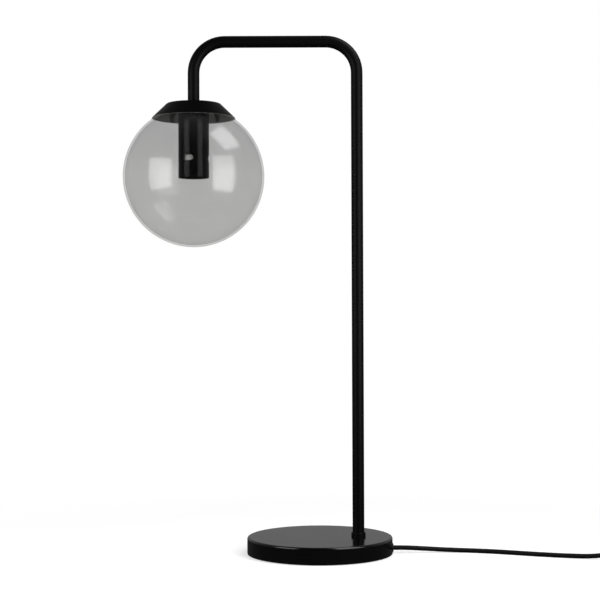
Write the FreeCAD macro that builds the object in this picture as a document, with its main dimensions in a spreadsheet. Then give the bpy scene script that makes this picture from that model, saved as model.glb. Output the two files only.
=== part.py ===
"""Table lamp: a round weighted base, one bent tube as post and arm, and a glass globe under a conical cap.

Millimetres, +Z up. The origin is on the table under the middle of the base. The arm reaches towards -X,
and the cord leaves the base towards +X. Every size is a cell of the sheet "Sizes", and the pieces are
bound to those cells.
"""

import FreeCAD, Part
import math
import os
import re

import Sketcher
from FreeCAD import Placement, Rotation, Vector

SIZES = {
    # base
    "base_diameter": 156.0,
    "base_height": 18.5,
    "cover_wall": 1.2,
    "cover_edge_radius": 2.2,
    "skirt_gap": 0.8,
    "pad_thickness": 2.0,
    "pad_inset": 2.5,
    "weight_chamfer": 2.0,
    "post_inset": 36.5,
    "recess_diameter": 30.0,
    "recess_depth": 10.5,
    "washer_diameter": 24.0,
    "washer_thickness": 1.5,
    "nut_flats": 14.0,
    "nut_thickness": 3.0,
    "nipple_radius": 5.0,
    "nipple_bore_radius": 3.75,
    "nipple_overhang": 0.6,
    "plug_depth": 15.0,
    "collar_diameter": 15.5,
    "collar_height": 4.0,
    "collar_seat": 1.5,
    "collar_edge_radius": 0.9,
    # tube
    "tube_diameter": 12.7,
    "tube_wall": 1.2,
    "arm_height": 551.0,
    "arm_reach": 176.0,
    "bend_radius": 33.5,
    "drop_length": 33.5,
    # cap and clips
    "cap_top_radius": 29.0,
    "cap_rim_radius": 45.0,
    "cap_height": 15.5,
    "cap_wall": 1.2,
    "cap_edge_radius": 2.0,
    "clip_thickness": 0.5,
    "clip_width": 8.0,
    "clip_ring_radius": 12.0,
    "clip_bite": 1.5,
    "clip_apex_drop": 4.0,
    "clip_shoulder_inset": 5.0,
    "clip_tail_length": 3.5,
    "clip_tail_inset": 2.0,
    # globe
    "globe_diameter": 152.0,
    "globe_wall": 2.2,
    "neck_radius": 30.0,
    "seat_gap": 0.3,
    "neck_lip_radius": 0.9,
    # lampholder
    "sleeve_diameter": 33.0,
    "sleeve_wall": 0.8,
    "sleeve_edge_radius": 1.2,
    "slot_width": 13.0,
    "slot_height": 6.0,
    "slot_rise": 20.5,
    "stack_washer_diameter": 20.0,
    "stack_washer_thickness": 1.0,
    "bracket_thickness": 1.0,
    "bracket_width": 14.0,
    "bracket_drop": 8.0,
    "bracket_length": 26.4,
    "shell_radius": 7.0,
    "shell_wall": 0.4,
    "shell_length": 22.0,
    "shell_recess": 2.0,
    "shell_flange": 2.0,
    "holder_radius": 12.5,
    "holder_recess": 8.0,
    "holder_floor": 3.0,
    "holder_space": 3.0,
    "holder_edge_radius": 1.0,
    "block_width": 17.0,
    "block_length": 18.0,
    "block_height": 10.0,
    "terminal_width": 5.0,
    "terminal_height": 6.0,
    "terminal_spacing": 11.0,
    "terminal_sink": 2.5,
    "terminal_screw_radius": 1.5,
    "terminal_screw_length": 3.0,
    "terminal_head_radius": 1.6,
    "terminal_head_height": 1.2,
    "bracket_screw_radius": 1.5,
    "bracket_head_radius": 2.7,
    "bracket_screw_length": 5.0,
    "contact_thickness": 0.4,
    "contact_width": 4.0,
    "contact_reach": 5.0,
    "contact_drop": 1.8,
    # wires and cord
    "wire_radius": 1.1,
    "wire_spacing": 2.6,
    "wire_bend_radius": 6.0,
    "wire_top_bend_radius": 8.0,
    "cord_diameter": 5.0,
    "exit_height": 5.8,
    "sheath_overhang": 4.0,
    "bush_bore_gap": 0.05,
    "bush_neck_radius": 3.8,
    "bush_flange_radius": 4.8,
    "bush_outer_flange": 0.8,
    "bush_inner_flange": 1.2,
    "bush_pocket_depth": 4.0,
    "clamp_inset": 13.0,
    "clamp_width": 8.0,
    "clamp_length": 26.0,
    "clamp_edge_gap": 0.4,
    "clamp_lift": 0.1,
    "clamp_top_gap": 0.3,
    "clamp_screw_spacing": 17.0,
    "clamp_screw_radius": 1.5,
    "clamp_screw_length": 9.0,
    "clamp_head_radius": 2.8,
    "clamp_head_height": 1.4,
    "groove_gap": 0.3,
    # switch on the cord
    "switch_start_x": 316.0,
    "switch_y": -50.0,
    "switch_length": 64.0,
    "switch_width": 25.0,
    "switch_height": 18.0,
    "switch_wall": 1.6,
    "switch_split": 8.0,
    "switch_cord_height": 7.5,
    "switch_cord_entry": 4.0,
    "switch_corner_radius": 3.0,
    "switch_edge_radius": 1.5,
    "switch_end_width": 13.0,
    "switch_shoulder": 13.0,
    "window_length": 19.0,
    "window_width": 11.0,
    "window_gap": 0.4,
    "rocker_pin_radius": 1.5,
    "rocker_pin_length": 2.2,
    "rocker_pin_drop": 3.3,
    "rocker_rise": 1.4,
    "rocker_dip": 1.1,
    "rocker_foot_drop": 5.5,
    "rocker_foot_width": 3.0,
    "ear_thickness": 2.0,
    "ear_width": 6.0,
    "ear_drop": 4.5,
    "pin_gap": 0.06,
    "boss_side": 6.5,
    "boss_radius": 3.0,
    "switch_screw_radius": 1.4,
    "switch_screw_length": 11.0,
    "switch_head_radius": 2.5,
    "switch_head_height": 1.4,
    "switch_head_depth": 2.0,
    "blade_length": 14.0,
    "blade_width": 4.0,
    "blade_thickness": 0.6,
    "blade_spacing": 7.0,
    "rib_spacing": 9.0,
    "rib_width": 2.0,
    "rib_length": 12.0,
    "rib_height": 2.4,
    # coil and its tie
    "coil_x": 384.0,
    "coil_y": 20.0,
    "coil_outer_radius": 32.1,
    "coil_pitch": 5.5,
    "tie_thickness": 0.6,
    "tie_width": 7.0,
    "tie_gap": 0.4,
    # plug
    "plug_tail_x": 387.0,
    "plug_y": 78.4,
    "plug_length": 44.0,
    "plug_face_width": 27.0,
    "plug_wide_width": 35.0,
    "plug_wide_place": 9.0,
    "plug_neck_place": 24.0,
    "plug_neck_width": 13.0,
    "plug_thickness": 13.7,
    "plug_edge_radius": 2.0,
    "plug_corner_radius": 3.0,
    "tail_root_radius": 5.4,
    "tail_end_radius": 3.8,
    "tail_overlap": 2.0,
    "tail_groove_width": 1.2,
    "tail_groove_depth": 0.7,
    "plug_cord_entry": 6.0,
    "pin_radius": 2.0,
    "pin_length": 19.0,
    "pin_spacing": 19.0,
    "pin_root": 8.0,
    "pin_root_radius": 1.6,
    "pin_tip_radius": 1.2,
    # shared
    "drive_width": 0.7,
    "drive_depth": 0.6,
    "fit_gap": 0.03,
    "hole_gap": 0.1,
    "side_gap": 0.3,
    "cut_overrun": 5.0,
}
CLIP_COUNT = 3
SLOT_COUNT = 3
SLOT_ANGLE = 249.0
CLIP_ANGLE = 30.0
TIE_ANGLE = 180.0
ROCKER_ANGLE = 7.0
LAYER_COUNT = 4
TURN_COUNT = 2
ARC_COUNT = 4
CLIMB_SHARE = 0.5
GROOVE_COUNT = 5
ARC_SHARE = 0.45
CROSS_SHARE = 0.62
TOLERANCE = 1e-4
POINT_COUNT = 3

doc = FreeCAD.newDocument("table_lamp")
sheet = doc.addObject("Spreadsheet::Sheet", "Sizes")
for row, (alias, number) in enumerate(SIZES.items(), start=1):
    sheet.set(f"A{row}", alias)
    sheet.set(f"B{row}", str(number))
    sheet.setAlias(f"B{row}", alias)
doc.recompute()

# places that several pieces share, as sums of the sheet's sizes
BASE_RADIUS = "base_diameter / 2"
TUBE_RADIUS = "tube_diameter / 2"
TUBE_BORE = "(tube_diameter / 2 - tube_wall)"
WEIGHT_RADIUS = "(base_diameter / 2 - cover_wall - side_gap)"
WEIGHT_TOP = "(base_height - cover_wall)"
RECESS_TOP = "(pad_thickness + recess_depth)"
WASHER_PLACE = "(pad_thickness + recess_depth - washer_thickness)"
NUT_PLACE = "(pad_thickness + recess_depth - washer_thickness - nut_thickness)"
NIPPLE_END = "(pad_thickness + recess_depth - washer_thickness - nut_thickness - nipple_overhang)"
TUBE_FOOT = "(base_height + collar_seat)"
POST_X = "(base_diameter / 2 - post_inset)"
HEAD_X = "(base_diameter / 2 - post_inset - arm_reach)"
CAP_TOP = "(arm_height - bend_radius - drop_length)"
CAP_RIM = "(arm_height - bend_radius - drop_length - cap_height)"
CAP_SLOPE = "((cap_rim_radius - cap_top_radius) / cap_height)"
CAP_WALL_ACROSS = "(cap_wall * sqrt(1 + ((cap_rim_radius - cap_top_radius) / cap_height) ^ 2))"
GLOBE_RADIUS = "(globe_diameter / 2)"
GLOBE_INSIDE = "(globe_diameter / 2 - globe_wall)"
NECK_INSIDE = "(neck_radius - globe_wall)"
NECK_CORNER = f"sqrt({GLOBE_INSIDE} ^ 2 - {NECK_INSIDE} ^ 2)"
NECK_SHOULDER = f"sqrt({GLOBE_RADIUS} ^ 2 - neck_radius ^ 2)"
RIM_INSIDE = f"(cap_rim_radius - {CAP_WALL_ACROSS})"
GLOBE_DROP = f"(cap_height + sqrt(({GLOBE_RADIUS} + seat_gap) ^ 2 - {RIM_INSIDE} ^ 2))"
GLOBE_PLACE = f"(arm_height - bend_radius - drop_length - {GLOBE_DROP})"
NECK_TOP = f"({GLOBE_DROP} - cap_height - seat_gap + ({RIM_INSIDE} - neck_radius) / {CAP_SLOPE})"
SLEEVE_RADIUS = "(sleeve_diameter / 2)"
SLEEVE_TOP = "(arm_height - bend_radius - drop_length - cap_wall - clip_thickness)"
STACK_NUT = f"({SLEEVE_TOP} - sleeve_wall - stack_washer_thickness - nut_thickness)"
BRACKET_TOP = f"({STACK_NUT} - bracket_drop)"
LOWER_NUT = f"({BRACKET_TOP} - bracket_thickness - nut_thickness)"
TOP_NIPPLE_END = f"({LOWER_NUT} - nipple_overhang)"
HOLDER_LENGTH = "(shell_recess + shell_length + holder_space + holder_floor)"
BLOCK_PLACE = f"({BRACKET_TOP} - bracket_thickness / 2 - bracket_length - side_gap)"
BLOCK_TOP = f"({BLOCK_PLACE} + block_height)"
HOLDER_END = f"({BLOCK_PLACE} - {HOLDER_LENGTH})"
SLEEVE_END = f"({HOLDER_END} - holder_recess)"
SLEEVE_LENGTH = f"({SLEEVE_TOP} - {SLEEVE_END})"
CORD_RADIUS = "(cord_diameter / 2)"
CLAMP_X = "(base_diameter / 2 - clamp_inset)"
CLAMP_UNDER = "(pad_thickness + clamp_lift)"
CLAMP_TOP = "(exit_height - clamp_top_gap)"


def bound(text):
    """A sum of size names as an expression on the sheet."""
    return re.sub(r"\b([a-z]+(?:_[a-z]+)+)\b", r"Sizes.\1", text)


def value(text):
    """The number that a sum of size names comes to."""
    return float(sheet.evalExpression(bound(text)))


def bind(thing, **formulas):
    """Tie properties of an object to sums of the sheet's sizes. Double underscores stand for dots."""
    for name, text in formulas.items():
        thing.setExpression(name.replace("__", "."), bound(text))


def placed(thing, across="0", depth="0", up="0", turn=0.0, rotation=None):
    """Put an object at a place bound to the sheet, turned about Z or by a rotation of its own."""
    thing.Placement = Placement(Vector(), rotation or Rotation(Vector(0, 0, 1), turn))
    bind(thing, Placement__Base__x=across, Placement__Base__y=depth, Placement__Base__z=up)
    return thing


def new_body(name):
    """An empty body, labelled with its node's name."""
    body = doc.addObject("PartDesign::Body", name)
    body.Label = name
    return body


def new_sketch(body, name, role, offset="0"):
    """A sketch on one of the body's own origin planes, moved along the plane's normal."""
    sketch = body.newObject("Sketcher::SketchObject", name)
    plane = next(feature for feature in body.Origin.OriginFeatures if feature.Role == role)
    sketch.AttachmentSupport = [(plane, "")]
    sketch.MapMode = "FlatFace"
    bind(sketch, AttachmentOffset__Base__z=offset)
    return sketch


def pin_point(sketch, curve, end, across, up):
    """Hold one point of a sketch at a place given by two formulas."""
    for kind, axis, text in (("DistanceX", -2, across), ("DistanceY", -1, up)):
        if text is None:
            continue
        if text == "0":
            sketch.addConstraint(Sketcher.Constraint("PointOnObject", curve, end, axis))
            continue
        number = sketch.addConstraint(Sketcher.Constraint(kind, -1, 1, curve, end, value(text)))
        sketch.setExpression(f"Constraints[{number}]", bound(text))


def outline(sketch, corners):
    """Draw a closed outline of lines and arcs.

    A corner is (across, up). With a third entry, the middle of a circle as (across, up), the stretch
    from this corner to the next is an arc round it, anticlockwise unless a fourth entry says otherwise.
    """
    first = sketch.GeometryCount
    places = [Vector(value(c[0]), value(c[1]), 0) for c in corners]
    for here, there, corner in zip(places, places[1:] + places[:1], corners):
        if len(corner) == 2:
            sketch.addGeometry(Part.LineSegment(here, there), False)
            continue
        middle = Vector(value(corner[2][0]), value(corner[2][1]), 0)
        circle = Part.Circle(middle, Vector(0, 0, 1), (here - middle).Length)
        start, end = circle.parameter(here), circle.parameter(there)
        backwards = len(corner) == 4
        if backwards:
            start, end = end, start
        sketch.addGeometry(Part.ArcOfCircle(circle, start, end), False)
    ends = [(2, 1) if len(corner) == 4 else (1, 2) for corner in corners]
    for number, corner in enumerate(corners):
        following = (number + 1) % len(corners)
        join = (first + number, ends[number][1], first + following, ends[following][0])
        sketch.addConstraint(Sketcher.Constraint("Coincident", *join))
        pin_point(sketch, first + number, ends[number][0], corner[0], corner[1])
        if len(corner) > 2:
            chord = places[following] - places[number]
            upright = abs(chord.y) >= abs(chord.x)
            middle = (corner[2][0], None) if upright else (None, corner[2][1])
            pin_point(sketch, first + number, 3, *middle)


def rectangle(sketch, left, right, low, high):
    """Draw a rectangle between four formulas."""
    outline(sketch, [(left, low), (right, low), (right, high), (left, high)])


def circle(sketch, across, up, radius):
    """Draw a circle bound to formulas."""
    middle = Vector(value(across), value(up), 0)
    curve = sketch.addGeometry(Part.Circle(middle, Vector(0, 0, 1), value(radius)), False)
    pin_point(sketch, curve, 3, across, up)
    number = sketch.addConstraint(Sketcher.Constraint("Radius", curve, value(radius)))
    sketch.setExpression(f"Constraints[{number}]", bound(radius))


def revolved(name, corners):
    """A body turned about Z from an outline of (radius, height) corners."""
    body = new_body(name)
    sketch = new_sketch(body, f"{name}_profile", "XZ_Plane")
    outline(sketch, corners)
    turned = body.newObject("PartDesign::Revolution", f"{name}_turned")
    turned.Profile = sketch
    turned.ReferenceAxis = (sketch, ["V_Axis"])
    turned.Angle = 360.0
    doc.recompute()
    return body


def extruded(body, kind, name, sketch, length, both_ways=False, backwards=False):
    """A pad or pocket of a sketch. The volume has to change, so that none points away from the solid."""
    before = body.Shape.Volume if body.Tip else 0.0
    feature = body.newObject(f"PartDesign::{kind}", name)
    feature.Profile = sketch
    feature.SideType = "Symmetric" if both_ways else "One side"
    feature.Reversed = backwards
    bind(feature, Length=length)
    doc.recompute()
    after = body.Shape.Volume
    if not (after > before if kind == "Pad" else after < before):
        raise ValueError(f"{name} changes nothing")
    return feature


def rounded(body, name, radius, test, kind="Fillet"):
    """Round or chamfer the edges of the body's tip that pass a test on the edge."""
    tip = body.Tip
    found = [f"Edge{n}" for n, edge in enumerate(tip.Shape.Edges, start=1) if test(edge)]
    if not found:
        raise ValueError(f"{name} finds no edge")
    feature = body.newObject(f"PartDesign::{kind}", name)
    feature.Base = (tip, found)
    bind(feature, **{"Radius" if kind == "Fillet" else "Size": radius})
    doc.recompute()
    return feature


def level_ring(edge, radius, height):
    """Whether an edge is a full level circle of this radius and height, in its body's own frame."""
    if edge.Degenerated or not hasattr(edge.Curve, "Radius"):
        return False
    curve = edge.Curve
    same_size = abs(curve.Radius - value(radius)) < TOLERANCE
    return same_size and abs(curve.Center.z - value(height)) < TOLERANCE


def upright(edge, length):
    """Whether an edge stands upright and is this long."""
    box = edge.BoundBox
    stands = box.XLength < TOLERANCE and box.YLength < TOLERANCE
    return stands and abs(box.ZLength - value(length)) < TOLERANCE


def repeated(body, name, features, count):
    """Repeat features of a body about Z."""
    pattern = body.newObject("PartDesign::PolarPattern", name)
    pattern.Originals = features
    axis = next(feature for feature in body.Origin.OriginFeatures if feature.Role == "Z_Axis")
    pattern.Axis = (axis, [""])
    pattern.Angle = 360.0
    pattern.Occurrences = count
    body.Tip = pattern
    doc.recompute()
    return pattern


def ring_with_hole(name, kind, hole, height, **sizes):
    """A cylinder or six-sided prism with a round hole through it, for washers and nuts."""
    blank = doc.addObject(f"Part::{kind}", f"{name}_blank")
    if kind == "Prism":
        blank.Polygon = 6
    bind(blank, Height=height, **sizes)
    bore = doc.addObject("Part::Cylinder", f"{name}_bore")
    bind(bore, Radius=hole, Height=f"{height} + 2 * cut_overrun", Placement__Base__z="0 - cut_overrun")
    cut = doc.addObject("Part::Cut", name)
    cut.Base = blank
    cut.Tool = bore
    cut.Label = name
    doc.recompute()
    return cut


def plain_feature(name, shape, place=None):
    """A feature whose shape is made by Part's own functions."""
    feature = doc.addObject("Part::Feature", name)
    feature.Shape = shape
    feature.Placement = (place or Placement()).multiply(shape.Placement)
    feature.Label = name
    return feature


# Base
# The cover is drawn sheet over a cast disc, which the post's nut clamps together.

base_cover = revolved(
    "base_cover",
    [
        ("0", WEIGHT_TOP),
        (f"{BASE_RADIUS} - cover_wall", WEIGHT_TOP),
        (f"{BASE_RADIUS} - cover_wall", "skirt_gap"),
        (BASE_RADIUS, "skirt_gap"),
        (BASE_RADIUS, "base_height"),
        ("0", "base_height"),
    ],
)
rounded(
    base_cover,
    "cover_edge",
    "cover_edge_radius",
    lambda edge: level_ring(edge, BASE_RADIUS, "base_height"),
)
hole_sketch = new_sketch(base_cover, "cover_hole_sketch", "XY_Plane", "base_height + cut_overrun")
circle(hole_sketch, POST_X, "0", "nipple_radius + hole_gap")
extruded(base_cover, "Pocket", "cover_hole", hole_sketch, "cover_wall + 2 * cut_overrun")
notch_sketch = new_sketch(base_cover, "cover_notch_sketch", "YZ_Plane", f"{BASE_RADIUS} + cut_overrun")
outline(
    notch_sketch,
    [
        ("0 - bush_neck_radius - fit_gap", "0"),
        ("bush_neck_radius + fit_gap", "0"),
        ("bush_neck_radius + fit_gap", "exit_height", ("0", "exit_height")),
        ("0 - bush_neck_radius - fit_gap", "exit_height"),
    ],
)
extruded(base_cover, "Pocket", "cover_notch", notch_sketch, "cover_wall + 2 * cut_overrun")

base_weight = revolved(
    "base_weight",
    [
        ("0", "pad_thickness"),
        (WEIGHT_RADIUS, "pad_thickness"),
        (WEIGHT_RADIUS, WEIGHT_TOP),
        ("0", WEIGHT_TOP),
    ],
)
rounded(
    base_weight,
    "weight_edge",
    "weight_chamfer",
    lambda edge: level_ring(edge, WEIGHT_RADIUS, WEIGHT_TOP),
    "Chamfer",
)


def cut_from_below(body, name, draw, top):
    """Cut an outline into the weight from its underside up to a height."""
    sketch = new_sketch(body, f"{name}_sketch", "XY_Plane", "pad_thickness - cut_overrun")
    draw(sketch)
    extruded(body, "Pocket", name, sketch, f"{top} - pad_thickness + cut_overrun", backwards=True)


cut_from_below(
    base_weight, "nut_recess", lambda s: circle(s, POST_X, "0", "recess_diameter / 2"), RECESS_TOP
)
cut_from_below(
    base_weight,
    "nipple_hole",
    lambda s: circle(s, POST_X, "0", "nipple_radius + hole_gap"),
    f"{WEIGHT_TOP} + cut_overrun",
)
cut_from_below(
    base_weight,
    "cord_channel",
    lambda s: rectangle(
        s,
        POST_X,
        f"{WEIGHT_RADIUS} + cut_overrun",
        f"0 - {CORD_RADIUS} - groove_gap",
        f"{CORD_RADIUS} + groove_gap",
    ),
    f"exit_height + {CORD_RADIUS} + groove_gap",
)
cut_from_below(
    base_weight,
    "bush_pocket",
    lambda s: rectangle(
        s,
        f"{WEIGHT_RADIUS} - bush_pocket_depth",
        f"{WEIGHT_RADIUS} + cut_overrun",
        "0 - bush_flange_radius - side_gap",
        "bush_flange_radius + side_gap",
    ),
    "exit_height + bush_flange_radius + side_gap",
)
cut_from_below(
    base_weight,
    "clamp_pocket",
    lambda s: rectangle(
        s,
        f"{CLAMP_X} - clamp_width / 2 - clamp_edge_gap",
        f"{CLAMP_X} + clamp_width / 2 + clamp_edge_gap",
        "0 - clamp_length / 2 - clamp_edge_gap",
        "clamp_length / 2 + clamp_edge_gap",
    ),
    "exit_height",
)


def screw_circles(sketch, radius):
    """The two clamp screws' circles."""
    for side in ("0 - clamp_screw_spacing / 2", "clamp_screw_spacing / 2"):
        circle(sketch, CLAMP_X, side, radius)


cut_from_below(
    base_weight,
    "clamp_holes",
    lambda s: screw_circles(s, "clamp_screw_radius + fit_gap"),
    f"{CLAMP_UNDER} + clamp_screw_length + side_gap",
)

base_pad = doc.addObject("Part::Cylinder", "base_pad")
base_pad.Label = "base_pad"
bind(base_pad, Radius=f"{WEIGHT_RADIUS} - pad_inset", Height="pad_thickness")

foot_collar = revolved(
    "foot_collar",
    [
        ("nipple_radius + hole_gap", "0"),
        ("collar_diameter / 2", "0"),
        ("collar_diameter / 2", "collar_height"),
        (f"{TUBE_RADIUS} + fit_gap", "collar_height"),
        (f"{TUBE_RADIUS} + fit_gap", "collar_seat"),
        ("nipple_radius + hole_gap", "collar_seat"),
    ],
)
rounded(
    foot_collar,
    "collar_edge",
    "collar_edge_radius",
    lambda edge: level_ring(edge, "collar_diameter / 2", "collar_height"),
)
placed(foot_collar, POST_X, up="base_height")


def threaded_end(name, thread_length, plug_end):
    """A threaded tube with a thicker plug that is pressed into the lamp's tube, thread end first."""
    return revolved(
        name,
        [
            ("nipple_bore_radius", "0"),
            ("nipple_radius", "0"),
            ("nipple_radius", thread_length),
            (f"{TUBE_BORE} - fit_gap", thread_length),
            (f"{TUBE_BORE} - fit_gap", plug_end),
            ("nipple_bore_radius", plug_end),
        ],
    )


FOOT_THREAD = f"({TUBE_FOOT} - {NIPPLE_END})"
base_nipple = threaded_end("base_nipple", FOOT_THREAD, f"{FOOT_THREAD} + plug_depth")
placed(base_nipple, POST_X, up=NIPPLE_END)

base_washer = ring_with_hole(
    "base_washer", "Cylinder", "nipple_radius + hole_gap", "washer_thickness", Radius="washer_diameter / 2"
)
placed(base_washer, POST_X, up=WASHER_PLACE)
base_nut = ring_with_hole(
    "base_nut",
    "Prism",
    "nipple_radius + fit_gap",
    "nut_thickness",
    Circumradius="nut_flats / 2 / cos(30)",
)
placed(base_nut, POST_X, up=NUT_PLACE)

# Cord entry
# A soft bush sits in the cover's notch, and a bar with two screws grips the cord behind it.

ALONG_X = Rotation(Vector(0, 1, 0), 90)
BUSH_SAG = f"({BASE_RADIUS} - cover_wall - sqrt(({BASE_RADIUS} - cover_wall) ^ 2 - bush_flange_radius ^ 2))"
NECK_END = f"(bush_inner_flange + {BUSH_SAG} + cover_wall + 2 * fit_gap)"
cord_bush = revolved(
    "cord_bush",
    [
        (f"{CORD_RADIUS} + bush_bore_gap", "0"),
        ("bush_flange_radius", "0"),
        ("bush_flange_radius", "bush_inner_flange"),
        ("bush_neck_radius", "bush_inner_flange"),
        ("bush_neck_radius", NECK_END),
        ("bush_flange_radius", NECK_END),
        ("bush_flange_radius", f"{NECK_END} + bush_outer_flange"),
        (f"{CORD_RADIUS} + bush_bore_gap", f"{NECK_END} + bush_outer_flange"),
    ],
)
BUSH_FACE = f"({BASE_RADIUS} + bush_outer_flange + fit_gap)"
placed(
    cord_bush,
    f"{BASE_RADIUS} - cover_wall - {BUSH_SAG} - bush_inner_flange - fit_gap",
    up="exit_height",
    rotation=ALONG_X,
)

cord_clamp = new_body("cord_clamp")
clamp_sketch = new_sketch(cord_clamp, "clamp_outline", "XY_Plane", CLAMP_UNDER)
rectangle(
    clamp_sketch,
    f"{CLAMP_X} - clamp_width / 2",
    f"{CLAMP_X} + clamp_width / 2",
    "0 - clamp_length / 2",
    "clamp_length / 2",
)
extruded(cord_clamp, "Pad", "clamp_bar", clamp_sketch, f"{CLAMP_TOP} - {CLAMP_UNDER}")
groove_sketch = new_sketch(cord_clamp, "clamp_groove_sketch", "YZ_Plane", CLAMP_X)
circle(groove_sketch, "0", "exit_height", f"{CORD_RADIUS} + bush_bore_gap")
extruded(cord_clamp, "Pocket", "clamp_groove", groove_sketch, "clamp_width + cut_overrun", both_ways=True)
shank_sketch = new_sketch(cord_clamp, "clamp_shank_sketch", "XY_Plane", CLAMP_UNDER)
screw_circles(shank_sketch, "clamp_screw_radius + hole_gap")
extruded(cord_clamp, "Pocket", "clamp_shanks", shank_sketch, "clamp_length", backwards=True)
head_sketch = new_sketch(cord_clamp, "clamp_head_sketch", "XY_Plane", CLAMP_UNDER)
screw_circles(head_sketch, "clamp_head_radius + hole_gap")
extruded(cord_clamp, "Pocket", "clamp_heads", head_sketch, "clamp_head_height", backwards=True)


def screw(radius, length, head_radius, head_height, crossed=False):
    """A screw that points up from the middle of its head's outer face, with a slot or a cross there."""
    head = Part.makeCylinder(value(head_radius), value(head_height))
    shank = Part.makeCylinder(value(radius), value(length))
    width, depth = value("drive_width"), value("drive_depth")
    reach = value(head_radius) * CROSS_SHARE if crossed else value(head_radius) + width
    whole = head.fuse(shank).removeSplitter()
    for angle in (0, 90) if crossed else (0,):
        slot = Part.makeBox(2 * reach, width, 2 * depth, Vector(-reach, -width / 2, -depth))
        slot.rotate(Vector(), Vector(0, 0, 1), angle)
        whole = whole.cut(slot)
    return whole.Solids[0]


clamp_screw = screw(
    "clamp_screw_radius", "clamp_screw_length", "clamp_head_radius", "clamp_head_height", crossed=True
)
clamp_screws = plain_feature(
    "clamp_screws",
    Part.makeCompound(
        [
            clamp_screw.translated(Vector(value(CLAMP_X), side * value("clamp_screw_spacing / 2")))
            for side in (-1, 1)
        ]
    ),
    Placement(Vector(0, 0, value(CLAMP_UNDER)), Rotation()),
)

# Post and arm
# One tube is bent twice. In its own frame it starts at the foot and leans towards +X.

POST_LENGTH = f"(arm_height - bend_radius - {TUBE_FOOT})"
arm_tube = new_body("arm_tube")
path_sketch = new_sketch(arm_tube, "arm_path", "XZ_Plane")
bend, reach, post_length = value("bend_radius"), value("arm_reach"), value(POST_LENGTH)
first_bend = Part.Circle(Vector(bend, post_length, 0), Vector(0, 0, 1), bend)
second_bend = Part.Circle(Vector(reach - bend, post_length, 0), Vector(0, 0, 1), bend)
route = [
    Part.LineSegment(Vector(), Vector(0, post_length, 0)),
    Part.ArcOfCircle(first_bend, math.pi / 2, math.pi),
    Part.LineSegment(Vector(bend, post_length + bend, 0), Vector(reach - bend, post_length + bend, 0)),
    Part.ArcOfCircle(second_bend, 0, math.pi / 2),
    Part.LineSegment(Vector(reach, post_length, 0), Vector(reach, post_length - value("drop_length"), 0)),
]
for stretch in route:
    path_sketch.addGeometry(stretch, False)
for first_end, second_end in (((0, 2), (1, 2)), ((1, 1), (2, 1)), ((2, 2), (3, 2)), ((3, 1), (4, 1))):
    path_sketch.addConstraint(Sketcher.Constraint("Coincident", *first_end, *second_end))
pin_point(path_sketch, 0, 1, "0", "0")
pin_point(path_sketch, 0, 2, "0", POST_LENGTH)
pin_point(path_sketch, 1, 3, None, POST_LENGTH)
pin_point(path_sketch, 2, 1, "bend_radius", f"{POST_LENGTH} + bend_radius")
pin_point(path_sketch, 2, 2, "arm_reach - bend_radius", f"{POST_LENGTH} + bend_radius")
pin_point(path_sketch, 3, 3, None, POST_LENGTH)
pin_point(path_sketch, 4, 1, "arm_reach", POST_LENGTH)
pin_point(path_sketch, 4, 2, "arm_reach", f"{POST_LENGTH} - drop_length")
tube_section = new_sketch(arm_tube, "tube_section", "XY_Plane")
circle(tube_section, "0", "0", TUBE_RADIUS)
circle(tube_section, "0", "0", TUBE_BORE)
swept = arm_tube.newObject("PartDesign::AdditivePipe", "bent_tube")
swept.Profile = tube_section
swept.Spine = path_sketch
doc.recompute()
placed(arm_tube, POST_X, up=TUBE_FOOT, turn=180.0)

HEAD_THREAD = f"({CAP_TOP} - {TOP_NIPPLE_END})"
top_nipple = threaded_end("top_nipple", HEAD_THREAD, f"{HEAD_THREAD} + plug_depth")
placed(top_nipple, HEAD_X, up=TOP_NIPPLE_END)

# Cap, clips and globe
# The cap is a spun cone. The globe's shoulder seats against its rim, and three leaf springs hold it there.

cap = revolved(
    "cap",
    [
        ("nipple_radius + hole_gap", "cap_height"),
        ("nipple_radius + hole_gap", "cap_height - cap_wall"),
        (
            f"{RIM_INSIDE} - (cap_height - cap_wall) * {CAP_SLOPE}",
            "cap_height - cap_wall",
        ),
        (RIM_INSIDE, "0"),
        ("cap_rim_radius", "0"),
        ("cap_top_radius", "cap_height"),
    ],
)
rounded(cap, "cap_edge", "cap_edge_radius", lambda edge: level_ring(edge, "cap_top_radius", "cap_height"))
placed(cap, HEAD_X, up=CAP_RIM)


def strip(points, thickness):
    """The outline of a bent strip whose middle follows points in the XZ plane, as a face."""
    sides = []
    for side in (1, -1):
        edge = []
        for number, point in enumerate(points):
            before = points[max(number - 1, 0)]
            after = points[min(number + 1, len(points) - 1)]
            leans = [
                Vector(-(there - here).z, 0, (there - here).x).normalize()
                for here, there in ((before, point), (point, after))
                if (there - here).Length > 0
            ]
            lean = sum(leans[1:], leans[0]).normalize()
            edge.append(point + lean * (side * thickness / 2 / lean.dot(leans[0])))
        sides.append(edge)
    return Part.Face(Part.makePolygon(sides[0] + sides[1][::-1] + sides[0][:1]))


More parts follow.
